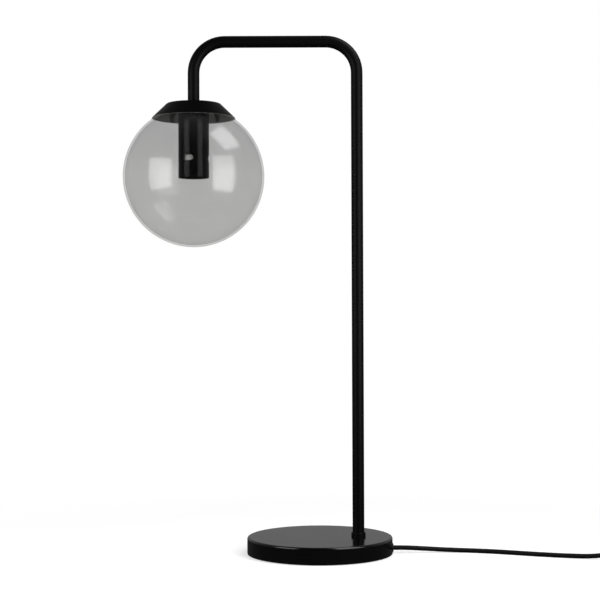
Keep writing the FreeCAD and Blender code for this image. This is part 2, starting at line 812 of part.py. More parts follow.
def clip_leaf():
    """One leaf of the globe's clips: out under the cap, down through the neck, and back in."""
    corner = Vector(value(NECK_INSIDE), 0, value(f"{NECK_CORNER} - {GLOBE_DROP}"))
    apex = corner + Vector(value("clip_bite"), 0, -value("clip_apex_drop"))
    top = -value("cap_wall + clip_thickness / 2")
    lean = math.atan2(value("clip_shoulder_inset + clip_bite"), top - apex.z)
    reach = value("seat_gap + clip_thickness / 2") / math.cos(lean)
    shoulder_x = corner.x - reach - (top - corner.z) * math.tan(lean)
    apex.x = corner.x - reach + value("clip_apex_drop") * math.tan(lean)
    points = [
        Vector(value("nipple_radius + clip_thickness"), 0, top),
        Vector(shoulder_x, 0, top),
        apex,
        Vector(apex.x - value("clip_tail_inset"), 0, apex.z - value("clip_tail_length")),
    ]
    leaf = strip(points, value("clip_thickness")).extrude(Vector(0, value("clip_width"), 0))
    return leaf.translated(Vector(0, -value("clip_width / 2"), 0))


clip_disc = Part.makeCylinder(value("clip_ring_radius"), value("clip_thickness"))
clip_disc.translate(Vector(0, 0, -value("cap_wall + clip_thickness")))
leaves = [clip_leaf() for number in range(CLIP_COUNT)]
for number, leaf in enumerate(leaves):
    leaf.rotate(Vector(), Vector(0, 0, 1), CLIP_ANGLE + number * 360.0 / CLIP_COUNT)
clip_hole = Part.makeCylinder(value("nipple_radius + hole_gap"), value("cap_height"))
clip_hole.translate(Vector(0, 0, -value("cap_height")))
globe_clips = plain_feature(
    "globe_clips",
    clip_disc.multiFuse(leaves).cut(clip_hole).removeSplitter(),
    Placement(Vector(value(HEAD_X), 0, value(CAP_TOP)), Rotation()),
)

globe = revolved(
    "globe",
    [
        ("0", f"0 - {GLOBE_RADIUS}", ("0", "0")),
        ("neck_radius", NECK_SHOULDER),
        ("neck_radius", NECK_TOP),
        (NECK_INSIDE, NECK_TOP),
        (NECK_INSIDE, NECK_CORNER, ("0", "0"), "back"),
        ("0", f"0 - {GLOBE_INSIDE}"),
    ],
)
rounded(
    globe,
    "neck_lip",
    "neck_lip_radius",
    lambda edge: level_ring(edge, "neck_radius", NECK_TOP) or level_ring(edge, NECK_INSIDE, NECK_TOP),
)
placed(globe, HEAD_X, up=GLOBE_PLACE)

# Lampholder
# A drawn sleeve hides a porcelain holder that hangs on a strap from the same threaded tube.

holder_sleeve = revolved(
    "holder_sleeve",
    [
        (f"{SLEEVE_RADIUS} - sleeve_wall", "0"),
        (SLEEVE_RADIUS, "0"),
        (SLEEVE_RADIUS, SLEEVE_LENGTH),
        ("nipple_radius + hole_gap", SLEEVE_LENGTH),
        ("nipple_radius + hole_gap", f"{SLEEVE_LENGTH} - sleeve_wall"),
        (f"{SLEEVE_RADIUS} - sleeve_wall", f"{SLEEVE_LENGTH} - sleeve_wall"),
    ],
)
rounded(
    holder_sleeve,
    "sleeve_edge",
    "sleeve_edge_radius",
    lambda edge: level_ring(edge, SLEEVE_RADIUS, SLEEVE_LENGTH),
)
slot_sketch = new_sketch(holder_sleeve, "slot_sketch", "YZ_Plane", f"{SLEEVE_RADIUS} + cut_overrun")
SLOT_STRAIGHT = "(slot_width / 2 - slot_height / 2)"
outline(
    slot_sketch,
    [
        (f"0 - {SLOT_STRAIGHT}", "slot_rise - slot_height / 2"),
        (SLOT_STRAIGHT, "slot_rise - slot_height / 2", (SLOT_STRAIGHT, "slot_rise")),
        (SLOT_STRAIGHT, "slot_rise + slot_height / 2"),
        (f"0 - {SLOT_STRAIGHT}", "slot_rise + slot_height / 2", (f"0 - {SLOT_STRAIGHT}", "slot_rise")),
    ],
)
slot = extruded(holder_sleeve, "Pocket", "vent_slot", slot_sketch, f"{SLEEVE_RADIUS} + cut_overrun")
repeated(holder_sleeve, "vent_slots", [slot], SLOT_COUNT)
placed(holder_sleeve, HEAD_X, up=SLEEVE_END, turn=SLOT_ANGLE)

holder_washer = ring_with_hole(
    "holder_washer",
    "Cylinder",
    "nipple_radius + hole_gap",
    "stack_washer_thickness",
    Radius="stack_washer_diameter / 2",
)
placed(holder_washer, HEAD_X, up=f"{SLEEVE_TOP} - sleeve_wall - stack_washer_thickness")

nut_blank = ring_with_hole(
    "holder_nut",
    "Prism",
    "nipple_radius + fit_gap",
    "nut_thickness",
    Circumradius="nut_flats / 2 / cos(30)",
)
holder_nuts = plain_feature(
    "holder_nuts",
    Part.makeCompound(
        [
            nut_blank.Shape.translated(Vector(0, 0, value(f"{STACK_NUT} - {LOWER_NUT}"))),
            nut_blank.Shape.copy(),
        ]
    ),
    Placement(Vector(value(HEAD_X), 0, value(LOWER_NUT)), Rotation()),
)

BLOCK_SIDE = "(block_width / 2)"
bracket_x = value(f"{BLOCK_SIDE} + fit_gap + bracket_thickness / 2")
bracket_face = strip(
    [
        Vector(-bracket_x, 0, -value("bracket_length")),
        Vector(-bracket_x, 0, 0),
        Vector(bracket_x, 0, 0),
        Vector(bracket_x, 0, -value("bracket_length")),
    ],
    value("bracket_thickness"),
)
strap = bracket_face.extrude(Vector(0, value("bracket_width"), 0))
strap.translate(Vector(0, -value("bracket_width / 2"), 0))
strap_hole = Part.makeCylinder(value("nipple_radius + fit_gap"), value("bracket_thickness + cut_overrun"))
strap_hole.translate(Vector(0, 0, -value("bracket_thickness / 2 + cut_overrun / 2")))
SCREW_DROP = f"({BRACKET_TOP} - bracket_thickness / 2 - {BLOCK_PLACE} - block_height / 2)"
screw_hole = Part.makeCylinder(
    value("bracket_screw_radius + fit_gap"), value("block_width * 2"), Vector(), Vector(1, 0, 0)
)
screw_hole.translate(Vector(-value("block_width"), 0, -value(SCREW_DROP)))
holder_bracket = plain_feature(
    "holder_bracket",
    strap.cut(strap_hole).cut(screw_hole),
    Placement(Vector(value(HEAD_X), 0, value(f"{BRACKET_TOP} - bracket_thickness / 2")), Rotation()),
)
bracket_screw = screw(
    "bracket_screw_radius",
    "terminal_head_height + bracket_thickness + bracket_screw_length",
    "bracket_head_radius",
    "terminal_head_height",
)
bracket_pair = []
for side in (-1, 1):
    one = bracket_screw.copy()
    one.rotate(Vector(), Vector(0, 1, 0), -90.0 * side)
    one.translate(Vector(side * value(f"{BLOCK_SIDE} + fit_gap + bracket_thickness + terminal_head_height")))
    bracket_pair.append(one)
bracket_screws = plain_feature(
    "bracket_screws",
    Part.makeCompound(bracket_pair),
    Placement(Vector(value(HEAD_X), 0, value(f"{BLOCK_PLACE} + block_height / 2")), Rotation()),
)

SHELL_OUTSIDE = "(shell_radius + shell_wall)"
SHELL_TOP = "(shell_recess + shell_length)"
holder_body = revolved(
    "holder_body",
    [
        (f"{SHELL_OUTSIDE} + fit_gap", "0"),
        ("holder_radius", "0"),
        ("holder_radius", HOLDER_LENGTH),
        ("0", HOLDER_LENGTH),
        ("0", f"{SHELL_TOP} + holder_space"),
        (f"{SHELL_OUTSIDE} + fit_gap", f"{SHELL_TOP} + holder_space"),
    ],
)
rounded(
    holder_body,
    "holder_edges",
    "holder_edge_radius",
    lambda edge: level_ring(edge, "holder_radius", "0") or level_ring(edge, "holder_radius", HOLDER_LENGTH),
)
block_sketch = new_sketch(holder_body, "block_sketch", "XY_Plane", HOLDER_LENGTH)
rectangle(
    block_sketch,
    f"0 - {BLOCK_SIDE}",
    BLOCK_SIDE,
    "0 - block_length / 2",
    "block_length / 2",
)
extruded(holder_body, "Pad", "terminal_block", block_sketch, "block_height")
seat_sketch = new_sketch(holder_body, "terminal_seats_sketch", "XY_Plane", f"{HOLDER_LENGTH} + block_height")
for side in ("0 - terminal_spacing / 2", "terminal_spacing / 2"):
    rectangle(
        seat_sketch,
        "0 - terminal_width / 2 - fit_gap",
        "terminal_width / 2 + fit_gap",
        f"{side} - terminal_width / 2 - fit_gap",
        f"{side} + terminal_width / 2 + fit_gap",
    )
extruded(holder_body, "Pocket", "terminal_seats", seat_sketch, "terminal_sink")
side_sketch = new_sketch(holder_body, "bracket_holes_sketch", "YZ_Plane")
circle(side_sketch, "0", f"{HOLDER_LENGTH} + block_height / 2", "bracket_screw_radius + fit_gap")
extruded(holder_body, "Pocket", "bracket_holes", side_sketch, "block_width + cut_overrun", both_ways=True)
placed(holder_body, HEAD_X, up=HOLDER_END)

screw_shell = revolved(
    "screw_shell",
    [
        ("shell_radius", "0"),
        (SHELL_OUTSIDE, "0"),
        (SHELL_OUTSIDE, "shell_length"),
        (f"{SHELL_OUTSIDE} - shell_flange", "shell_length"),
        (f"{SHELL_OUTSIDE} - shell_flange", "shell_length - shell_wall"),
        ("shell_radius", "shell_length - shell_wall"),
    ],
)
placed(screw_shell, HEAD_X, up=f"{HOLDER_END} + shell_recess")

contact_points = [
    Vector(value("contact_reach"), 0, -value("contact_thickness / 2")),
    Vector(-value("contact_width / 2"), 0, -value("contact_thickness / 2")),
    Vector(value("contact_width / 2"), 0, -value("contact_drop")),
]
tongue = strip(contact_points, value("contact_thickness")).extrude(Vector(0, value("contact_width"), 0))
centre_contact = plain_feature(
    "centre_contact",
    tongue.translated(Vector(0, -value("contact_width / 2"), 0)),
    Placement(
        Vector(value(HEAD_X), 0, value(f"{HOLDER_END} + {SHELL_TOP} + holder_space")), Rotation()
    ),
)


screw_up = value("terminal_sink + (terminal_height - terminal_sink) / 2")
screw_hole_radius = value("terminal_screw_radius + fit_gap")


def terminal(side):
    """A brass block with a hole for its screw, on one side of the porcelain's top."""
    width = value("terminal_width")
    block = Part.makeBox(width, width, value("terminal_height"))
    block.translate(Vector(-width / 2, side * value("terminal_spacing / 2") - width / 2, 0))
    inward = Vector(0, -side, 0)
    hole = Part.makeCylinder(screw_hole_radius, value("terminal_screw_length"), Vector(), inward)
    outer = side * value("terminal_spacing / 2 + terminal_width / 2")
    return block.cut(hole.translated(Vector(0, outer, screw_up)))


terminal_place = Placement(Vector(value(HEAD_X), 0, value(f"{BLOCK_TOP} - terminal_sink")), Rotation())
holder_terminals = plain_feature(
    "holder_terminals", Part.makeCompound([terminal(-1), terminal(1)]), terminal_place
)
terminal_screw = screw(
    "terminal_screw_radius",
    "terminal_head_height + terminal_screw_length - fit_gap",
    "terminal_head_radius",
    "terminal_head_height",
)
terminal_pair = []
for side in (-1, 1):
    one = terminal_screw.copy()
    one.rotate(Vector(), Vector(1, 0, 0), 90.0 * side)
    outer = side * value("terminal_spacing / 2 + terminal_width / 2 + terminal_head_height")
    one.translate(Vector(0, outer, screw_up))
    terminal_pair.append(one)
terminal_screws = plain_feature("terminal_screws", Part.makeCompound(terminal_pair), terminal_place)

# Wires and cord
# A route is a list of points, each with the radius that the path turns there.


def rounded_path(points, radii):
    """Straight runs joined by tangent arcs: one radius for each point between the first and the last."""
    edges = []
    start = points[0]
    for before, corner, after, radius in zip(points, points[1:], points[2:], radii):
        inward = (corner - before).normalize()
        outward = (after - corner).normalize()
        cut = radius * math.tan(inward.getAngle(outward) / 2)
        first, last = corner - inward * cut, corner + outward * cut
        middle = corner + (outward - inward).normalize() * (math.hypot(cut, radius) - radius)
        if (first - start).Length > TOLERANCE:
            edges.append(Part.LineSegment(start, first).toShape())
        edges.append(Part.Arc(first, middle, last).toShape())
        start = last
    edges.append(Part.LineSegment(start, points[-1]).toShape())
    return Part.Wire(edges)


def tube_along(path, radius):
    """A round solid along a path, whose volume is compared with its section times its length."""
    start = path.Edges[0].valueAt(path.Edges[0].FirstParameter)
    ahead = path.Edges[0].tangentAt(path.Edges[0].FirstParameter)
    section = Part.Wire(Part.makeCircle(radius, start, ahead))
    solid = path.makePipeShell([section], True, False)
    share = solid.Volume / (math.pi * radius**2 * path.Length)
    if abs(share - 1.0) > 0.01:
        raise ValueError(f"a tube holds {share:.3f} of what its path says")
    return solid


def largest_radii(points):
    """The radius of each turn of a free cord: as large as the shorter of its two runs allows."""
    radii = []
    for before, corner, after in zip(points, points[1:], points[2:]):
        inward, outward = corner - before, after - corner
        shorter = min(inward.Length, outward.Length)
        radii.append(ARC_SHARE * shorter / math.tan(inward.getAngle(outward) / 2))
    return radii


def cord_piece(name, points):
    """A free stretch of cord. Its turns' radii and its length are printed."""
    radii = largest_radii(points)
    path = rounded_path(points, radii)
    print(f"{name}: length {path.Length:.1f}, radii {[round(radius, 1) for radius in radii]}")
    return plain_feature(name, tube_along(path, value(CORD_RADIUS)))


sheath_end = value(f"{CLAMP_X} - clamp_width / 2 - sheath_overhang")
exit_x = value(BUSH_FACE)
exit_z = value("exit_height")
sheath = Part.Wire([Part.LineSegment(Vector(sheath_end, 0, exit_z), Vector(exit_x, 0, exit_z)).toShape()])
cord_inner = plain_feature("cord_inner", tube_along(sheath, value(CORD_RADIUS)))


def wire_in_tube(name, side):
    """One wire, from the sheath's end up through the tube to its terminal."""
    across = side * value("wire_spacing / 2")
    post_x, head_x = value(POST_X), value(HEAD_X)
    arm_z = value("arm_height")
    terminal_y = side * value("terminal_spacing / 2 + terminal_width / 4")
    terminal_z = value(f"{BLOCK_TOP} - terminal_sink + terminal_height")
    spread_z = value(f"{TOP_NIPPLE_END} - nipple_overhang")
    spread_end = terminal_z + (spread_z - terminal_z) / 3
    points = [
        Vector(sheath_end, across, exit_z),
        Vector(post_x, across, exit_z),
        Vector(post_x, across, arm_z),
        Vector(head_x, across, arm_z),
        Vector(head_x, across, spread_z),
        Vector(head_x, terminal_y, spread_end),
        Vector(head_x, terminal_y, terminal_z),
    ]
    small = value("wire_bend_radius")
    turn = (points[4] - points[3]).getAngle(points[5] - points[4])
    short = (points[6] - points[5]).Length * ARC_SHARE / math.tan(turn / 2)
    spread = min(value("wire_top_bend_radius"), short)
    path = rounded_path(points, [small, bend, bend, spread, spread])
    return plain_feature(name, tube_along(path, value("wire_radius")))


live_wire = wire_in_tube("live_wire", 1)
neutral_wire = wire_in_tube("neutral_wire", -1)

half_cord = value(CORD_RADIUS)
cord_width = value("cord_diameter")
switch_in = Vector(value("switch_start_x"), value("switch_y"), value("switch_cord_height"))
switch_out = switch_in + Vector(value("switch_length"), 0, 0)
switch_entry = Vector(value("switch_cord_entry"), 0, 0)

# The cord's first stretch, as the photograph has it as far as x = 170, then out of its view.
LEAD_ROUTE = [
    (exit_x, 0.0, exit_z),
    (91.5, 0.0, exit_z),
    (110.0, -0.2, 4.6),
    (136.0, -0.8, 2.9),
    (160.0, -4.2, half_cord),
    (190.0, -11.5, half_cord),
    (224.0, -23.5, half_cord),
    (258.0, -36.0, half_cord + 0.1),
    (284.0, -45.5, 3.4),
    (300.0, -49.2, 6.3),
    (switch_in.x - cord_width, switch_in.y, switch_in.z),
    tuple(switch_in + switch_entry),
]
cord_lead = cord_piece("cord_lead", [Vector(*point) for point in LEAD_ROUTE])

# The coil: layers that spiral in and out by turns, each on top of the last.


def coil_place(turns):
    """Where the coil's middle line is after some turns, from its lower outer end."""
    layer, along = divmod(turns / TURN_COUNT, 1.0)
    inward = along if layer % 2 == 0 else 1.0 - along
    if turns >= LAYER_COUNT * TURN_COUNT:
        inward = 0.0
    radius = value("coil_outer_radius") - inward * TURN_COUNT * value("coil_pitch")
    climbed = 0.0
    for number in range(1, LAYER_COUNT):
        share = (turns - number * TURN_COUNT) / CLIMB_SHARE + 0.5
        climbed += (1.0 - math.cos(math.pi * min(max(share, 0.0), 1.0))) / 2
    angle = 2 * math.pi * turns
    return Vector(
        value("coil_x") + radius * math.cos(angle),
        value("coil_y") + radius * math.sin(angle),
        value(f"tie_thickness + tie_gap + {CORD_RADIUS}") + climbed * value("coil_pitch"),
    )


def coil_heading(turns):
    """Which way the coil runs after some turns. It starts and ends square to +Y."""
    if turns in (0, LAYER_COUNT * TURN_COUNT):
        return Vector(0, 1, 0)
    step = 0.001
    return (coil_place(turns + step) - coil_place(turns - step)).normalize()


def arc_middle(start, heading, end):
    """The middle of the arc that leaves a point along a heading and ends at another point."""
    chord = end - start
    along = chord * (1 / chord.Length)
    aside = heading - along * heading.dot(along)
    rise = chord.Length / 2 * math.tan(heading.getAngle(along) / 2)
    return start + chord * 0.5 + aside.normalize() * rise


def biarc(start, heading, end, last_heading):
    """Two arcs that join smoothly between two points and headings."""
    chord = end - start
    both = heading + last_heading
    spread = 2 * (1 - heading.dot(last_heading))
    reach = (math.sqrt(chord.dot(both) ** 2 + spread * chord.dot(chord)) - chord.dot(both)) / spread
    joint = (start + end + (heading - last_heading) * reach) * 0.5
    first = Part.Arc(start, arc_middle(start, heading, joint), joint)
    second = Part.Arc(joint, arc_middle(end, last_heading * -1, joint), end)
    return [first.toShape(), second.toShape()]


def coil_path():
    """The coil's middle line, with a straight end one cord's width long at each end."""
    count = LAYER_COUNT * TURN_COUNT * ARC_COUNT
    stops = [number / ARC_COUNT for number in range(count + 1)]
    first, last = coil_place(stops[0]), coil_place(stops[-1])
    straight = Vector(0, cord_width, 0)
    edges = [Part.LineSegment(first - straight, first).toShape()]
    for here, there in zip(stops, stops[1:]):
        edges += biarc(coil_place(here), coil_heading(here), coil_place(there), coil_heading(there))
    edges.append(Part.LineSegment(last, last + straight).toShape())
    return Part.Wire(edges)


def least_gap(path, width):
    """The least clear distance between a path's turns, measured on points along it."""
    points = path.discretize(Distance=width / POINT_COUNT)
    next_turn = round(2 * math.pi * POINT_COUNT)
    least = min(
        (one - other).Length
        for number, one in enumerate(points)
        for other in points[number + next_turn :]
    )
    return least - width


coil_line = coil_path()
cord_coil = plain_feature("cord_coil", tube_along(coil_line, half_cord))
print(f"cord_coil: length {coil_line.Length:.1f}, least gap {least_gap(coil_line, cord_width):.2f}")
coil_in = coil_place(0) - Vector(0, cord_width, 0)
coil_out = coil_place(LAYER_COUNT * TURN_COUNT) + Vector(0, cord_width, 0)

TAIL_ROUTE = [
    tuple(switch_out - switch_entry),
    (388.0, switch_out.y, switch_out.z),
    (400.3, -46.9, 5.6),
    (410.3, -38.4, 3.5),
    (415.8, -25.6, half_cord),
    (417.3, -11.2, half_cord + 0.1),
    (coil_in.x, 3.5, coil_in.z),
    tuple(coil_in),
]
cord_tail = cord_piece("cord_tail", [Vector(*point) for point in TAIL_ROUTE])

plug_in = Vector(value("plug_tail_x"), value("plug_y"), value("plug_thickness / 2"))
END_ROUTE = [
    tuple(coil_out),
    (coil_out.x, 36.0, coil_out.z),
    (415.9, 49.5, 17.0),
    (412.4, 62.8, 12.6),
    (404.6, 73.4, 8.8),
    (393.4, plug_in.y, plug_in.z),
    tuple(plug_in - Vector(value("plug_cord_entry"), 0, 0)),
]
cord_end = cord_piece("cord_end", [Vector(*point) for point in END_ROUTE])


def tie_shape():
    """A flat band round all the turns on one side of the coil, its corners square to them."""
    gap, band = value("tie_gap"), value("tie_thickness")
    inner = value(f"coil_outer_radius - {CORD_RADIUS} - tie_gap") - TURN_COUNT * value("coil_pitch")
    outer = value(f"coil_outer_radius + {CORD_RADIUS} + tie_gap")
    height = (LAYER_COUNT - 1) * value("coil_pitch") + cord_width + 2 * gap
    width = value("tie_width")
    whole = Part.makeBox(outer - inner + 2 * band, width, height + 2 * band)
    whole.translate(Vector(inner - band, -width / 2, 0))
    clear = Part.makeBox(outer - inner, 2 * width, height, Vector(inner, -width, band))
    return whole.cut(clear)


coil_tie = plain_feature(
    "coil_tie",
    tie_shape(),
    Placement(Vector(value("coil_x"), value("coil_y"), 0), Rotation(Vector(0, 0, 1), TIE_ANGLE)),
)

# Switch
# Two shells that part along the middle, with a rocker that tips on two pins in the upper one.

SWITCH_MIDDLE = "(switch_start_x + switch_length / 2)"
PIN_HEIGHT = "(switch_height - rocker_pin_drop)"
ROCKER_REACH = "(window_length / 2 - window_gap)"
ROCKER_SIDE = "(window_width / 2 - window_gap)"
ROCKER_TOP = "(rocker_pin_drop + rocker_rise)"
BOSS_X = "(switch_length / 2 - switch_shoulder)"
BOSSES = [(f"0 - {BOSS_X}", "0 - boss_side"), (BOSS_X, "boss_side")]


def switch_plan(sketch, inset):
    """The switch's outline from above: straight sides that draw in towards the cord's two ends."""
    half_length = f"(switch_length / 2 - {inset})"
    half_width = f"(switch_width / 2 - {inset})"
    half_end = f"(switch_end_width / 2 - {inset})"
    outline(
        sketch,
        [
            (half_length, f"0 - {half_end}"),
            (half_length, half_end),
            (BOSS_X, half_width),
            (f"0 - {BOSS_X}", half_width),
            (f"0 - {half_length}", half_end),
            (f"0 - {half_length}", f"0 - {half_end}"),
            (f"0 - {BOSS_X}", f"0 - {half_width}"),
            (BOSS_X, f"0 - {half_width}"),
        ],
    )


def switch_shell(name, low, high, outer, hollow_low, hollow_high):
    """Half of the switch's case: an open tray with rounded outer edges and a half hole at each end."""
    body = new_body(name)
    plan = new_sketch(body, f"{name}_plan", "XY_Plane", low)
    switch_plan(plan, "0")
    extruded(body, "Pad", f"{name}_block", plan, f"{high} - {low}")
    rounded(body, f"{name}_corners", "switch_corner_radius", lambda edge: upright(edge, f"{high} - {low}"))
    face = value(outer)
    rounded(
        body,
        f"{name}_edges",
        "switch_edge_radius",
        lambda edge: abs(edge.BoundBox.ZMin - face) + abs(edge.BoundBox.ZMax - face) < TOLERANCE,
    )
    hollow = new_sketch(body, f"{name}_hollow", "XY_Plane", hollow_low)
    switch_plan(hollow, "switch_wall")
    extruded(body, "Pocket", f"{name}_inside", hollow, f"{hollow_high} - {hollow_low}", backwards=True)
    ends = new_sketch(body, f"{name}_cord_sketch", "YZ_Plane")
    circle(ends, "0", "switch_cord_height", f"{CORD_RADIUS} + bush_bore_gap")
    extruded(body, "Pocket", f"{name}_cord_holes", ends, "switch_length + cut_overrun", both_ways=True)
    return body


def at_bosses(body, kind, name, radius, low, high):
    """Pad or cut a round at each of the switch's two screws, from one height up to another."""
    sketch = new_sketch(body, f"{name}_sketch", "XY_Plane", low)
    for across, up in BOSSES:
        circle(sketch, across, up, radius)
    extruded(body, kind, name, sketch, f"{high} - {low}", backwards=kind == "Pocket")


switch_lower = switch_shell(
    "switch_lower", "0", "switch_split", "0", "switch_wall", "(switch_split + cut_overrun)"
)
at_bosses(switch_lower, "Pad", "lower_bosses", "boss_radius", "switch_wall", "switch_split")
at_bosses(switch_lower, "Pocket", "lower_screw_holes", "switch_screw_radius + hole_gap", "0", "switch_split")
at_bosses(switch_lower, "Pocket", "head_recesses", "switch_head_radius + hole_gap", "0", "switch_head_depth")
rib_sketch = new_sketch(switch_lower, "contact_ribs_sketch", "XY_Plane", "switch_wall")
for side in ("0 - rib_spacing / 2", "rib_spacing / 2"):
    rectangle(
        rib_sketch,
        f"{side} - rib_width / 2",
        f"{side} + rib_width / 2",
        "0 - rib_length / 2",
        "rib_length / 2",
    )
extruded(switch_lower, "Pad", "contact_ribs", rib_sketch, "rib_height")
placed(switch_lower, SWITCH_MIDDLE, "switch_y")

switch_upper = switch_shell(
    "switch_upper",
    "switch_split",
    "switch_height",
    "switch_height",
    "(switch_split - cut_overrun)",
    "(switch_height - switch_wall)",
)
at_bosses(
    switch_upper, "Pad", "upper_bosses", "boss_radius", "switch_split", "(switch_height - switch_wall)"
)
at_bosses(
    switch_upper,
    "Pocket",
    "upper_screw_holes",
    "switch_screw_radius + fit_gap",
    "switch_split",
    "(switch_head_depth + switch_screw_length)",
)
window = new_sketch(switch_upper, "window_sketch", "XY_Plane", "switch_height - switch_wall - cut_overrun")
rectangle(
    window, "0 - window_length / 2", "window_length / 2", "0 - window_width / 2", "window_width / 2"
)
extruded(switch_upper, "Pocket", "rocker_window", window, "switch_wall + 2 * cut_overrun", backwards=True)
ears = new_sketch(switch_upper, "ears_sketch", "XY_Plane", f"{PIN_HEIGHT} - ear_drop / 2")
for near, far in (
    ("0 - window_width / 2 - ear_thickness", "0 - window_width / 2"),
    ("window_width / 2", "window_width / 2 + ear_thickness"),
):
    rectangle(ears, "0 - ear_width / 2", "ear_width / 2", near, far)
extruded(
    switch_upper, "Pad", "rocker_ears", ears, f"switch_height - switch_wall - {PIN_HEIGHT} + ear_drop / 2"
)
pin_sketch = new_sketch(switch_upper, "pin_holes_sketch", "XZ_Plane")
circle(pin_sketch, "0", PIN_HEIGHT, "rocker_pin_radius + pin_gap")
PINS_APART = "(window_width + 2 * ear_thickness)"
extruded(switch_upper, "Pocket", "pin_holes", pin_sketch, f"{PINS_APART} + hole_gap", both_ways=True)
placed(switch_upper, SWITCH_MIDDLE, "switch_y")

switch_rocker = new_body("switch_rocker")
rocker_side = new_sketch(switch_rocker, "rocker_side", "XZ_Plane")
ROCKER_CORNER = f"sqrt({ROCKER_REACH} ^ 2 - {ROCKER_TOP} ^ 2)"
outline(
    rocker_side,
    [
        ("0", f"{ROCKER_TOP} - rocker_dip"),
        (f"0 - {ROCKER_CORNER}", ROCKER_TOP, ("0", "0")),
        (f"0 - {ROCKER_REACH}", "0"),
        ("0 - rocker_foot_width / 2", "0 - rocker_pin_radius - rocker_dip"),
        ("0 - rocker_foot_width / 2", "0 - rocker_foot_drop"),
        ("rocker_foot_width / 2", "0 - rocker_foot_drop"),
        ("rocker_foot_width / 2", "0 - rocker_pin_radius - rocker_dip"),
        (ROCKER_REACH, "0", ("0", "0")),
        (ROCKER_CORNER, ROCKER_TOP),
    ],
)
extruded(switch_rocker, "Pad", "rocker_block", rocker_side, f"2 * {ROCKER_SIDE}", both_ways=True)
rocker_pins = new_sketch(switch_rocker, "rocker_pins_sketch", "XZ_Plane")
circle(rocker_pins, "0", "0", "rocker_pin_radius")
PIN_TIPS = f"(2 * {ROCKER_SIDE} + 2 * rocker_pin_length)"
extruded(switch_rocker, "Pad", "rocker_pins", rocker_pins, PIN_TIPS, both_ways=True)
placed(
    switch_rocker, SWITCH_MIDDLE, "switch_y", PIN_HEIGHT, rotation=Rotation(Vector(0, 1, 0), ROCKER_ANGLE)
)

switch_screw = screw(
    "switch_screw_radius", "switch_screw_length", "switch_head_radius", "switch_head_height", crossed=True
)
switch_screws = plain_feature(
    "switch_screws",
    Part.makeCompound([switch_screw.translated(Vector(value(x), value(y), 0)) for x, y in BOSSES]),
    Placement(
        Vector(value(SWITCH_MIDDLE), value("switch_y"), value("switch_head_depth - switch_head_height")),
        Rotation(),
    ),
)
blade = Part.makeBox(value("blade_length"), value("blade_width"), value("blade_thickness"))
blade.translate(Vector(-value("blade_length / 2"), -value("blade_width / 2"), 0))
switch_contacts = plain_feature(
    "switch_contacts",
    Part.makeCompound(
        [blade.translated(Vector(0, side * value("blade_spacing / 2"), 0)) for side in (-1, 1)]
    ),
    Placement(
        Vector(value(SWITCH_MIDDLE), value("switch_y"), value("switch_wall + rib_height")), Rotation()
    ),
)

# Plug
# A flat two-pin plug lies beside the coil. In its own frame +X runs from the pins' face to the cord.

plug_body = new_body("plug_body")
plug_plan = new_sketch(plug_body, "plug_plan", "XY_Plane", "0 - plug_thickness / 2")
outline(
    plug_plan,
    [
        ("0", "0 - plug_face_width / 2"),
        ("plug_wide_place", "0 - plug_wide_width / 2"),
        ("plug_neck_place", "0 - plug_neck_width / 2"),
        ("plug_neck_place", "plug_neck_width / 2"),
        ("plug_wide_place", "plug_wide_width / 2"),
        ("0", "plug_face_width / 2"),
    ],
)
extruded(plug_body, "Pad", "plug_block", plug_plan, "plug_thickness")
rounded(plug_body, "plug_corners", "plug_corner_radius", lambda edge: upright(edge, "plug_thickness"))
rounded(plug_body, "plug_edges", "plug_edge_radius", lambda edge: edge.BoundBox.ZLength < TOLERANCE)
tail_sketch = new_sketch(plug_body, "tail_profile", "XY_Plane")
TAIL_START = "(plug_neck_place - tail_overlap)"
TAIL_STEP = f"((plug_length - plug_neck_place) / {GROOVE_COUNT + 1})"
TAIL_SLOPE = f"((tail_root_radius - tail_end_radius) / (plug_length - {TAIL_START}))"


def tail_corner(place, depth):
    """A corner of the tail's tapered side, sunk by a depth."""
    return (place, f"tail_root_radius - ({place} - {TAIL_START}) * {TAIL_SLOPE} - {depth}")


tail_corners = [(TAIL_START, "0"), ("plug_length", "0"), ("plug_length", "tail_end_radius")]
for number in range(GROOVE_COUNT, 0, -1):
    place = f"(plug_neck_place + {number} * {TAIL_STEP})"
    far, near = f"({place} + tail_groove_width / 2)", f"({place} - tail_groove_width / 2)"
    tail_corners += [
        tail_corner(far, "0"),
        tail_corner(far, "tail_groove_depth"),
        tail_corner(near, "tail_groove_depth"),
        tail_corner(near, "0"),
    ]
tail_corners.append((TAIL_START, "tail_root_radius"))
outline(tail_sketch, tail_corners)
tail = plug_body.newObject("PartDesign::Revolution", "plug_tail")
tail.Profile = tail_sketch
tail.ReferenceAxis = (tail_sketch, ["H_Axis"])
tail.Angle = 360.0
doc.recompute()
cord_bore = new_sketch(plug_body, "plug_bore_sketch", "YZ_Plane", "plug_length - plug_cord_entry")
circle(cord_bore, "0", "0", f"{CORD_RADIUS} + bush_bore_gap")
extruded(plug_body, "Pocket", "plug_bore", cord_bore, "plug_cord_entry + cut_overrun", backwards=True)
pin_bores = new_sketch(plug_body, "pin_bores_sketch", "YZ_Plane", "0 - cut_overrun")
for side in ("0 - pin_spacing / 2", "pin_spacing / 2"):
    circle(pin_bores, side, "0", "pin_root_radius + fit_gap")
extruded(plug_body, "Pocket", "pin_bores", pin_bores, "pin_root + cut_overrun", backwards=True)
placed(plug_body, "plug_tail_x - plug_length", "plug_y", "plug_thickness / 2")

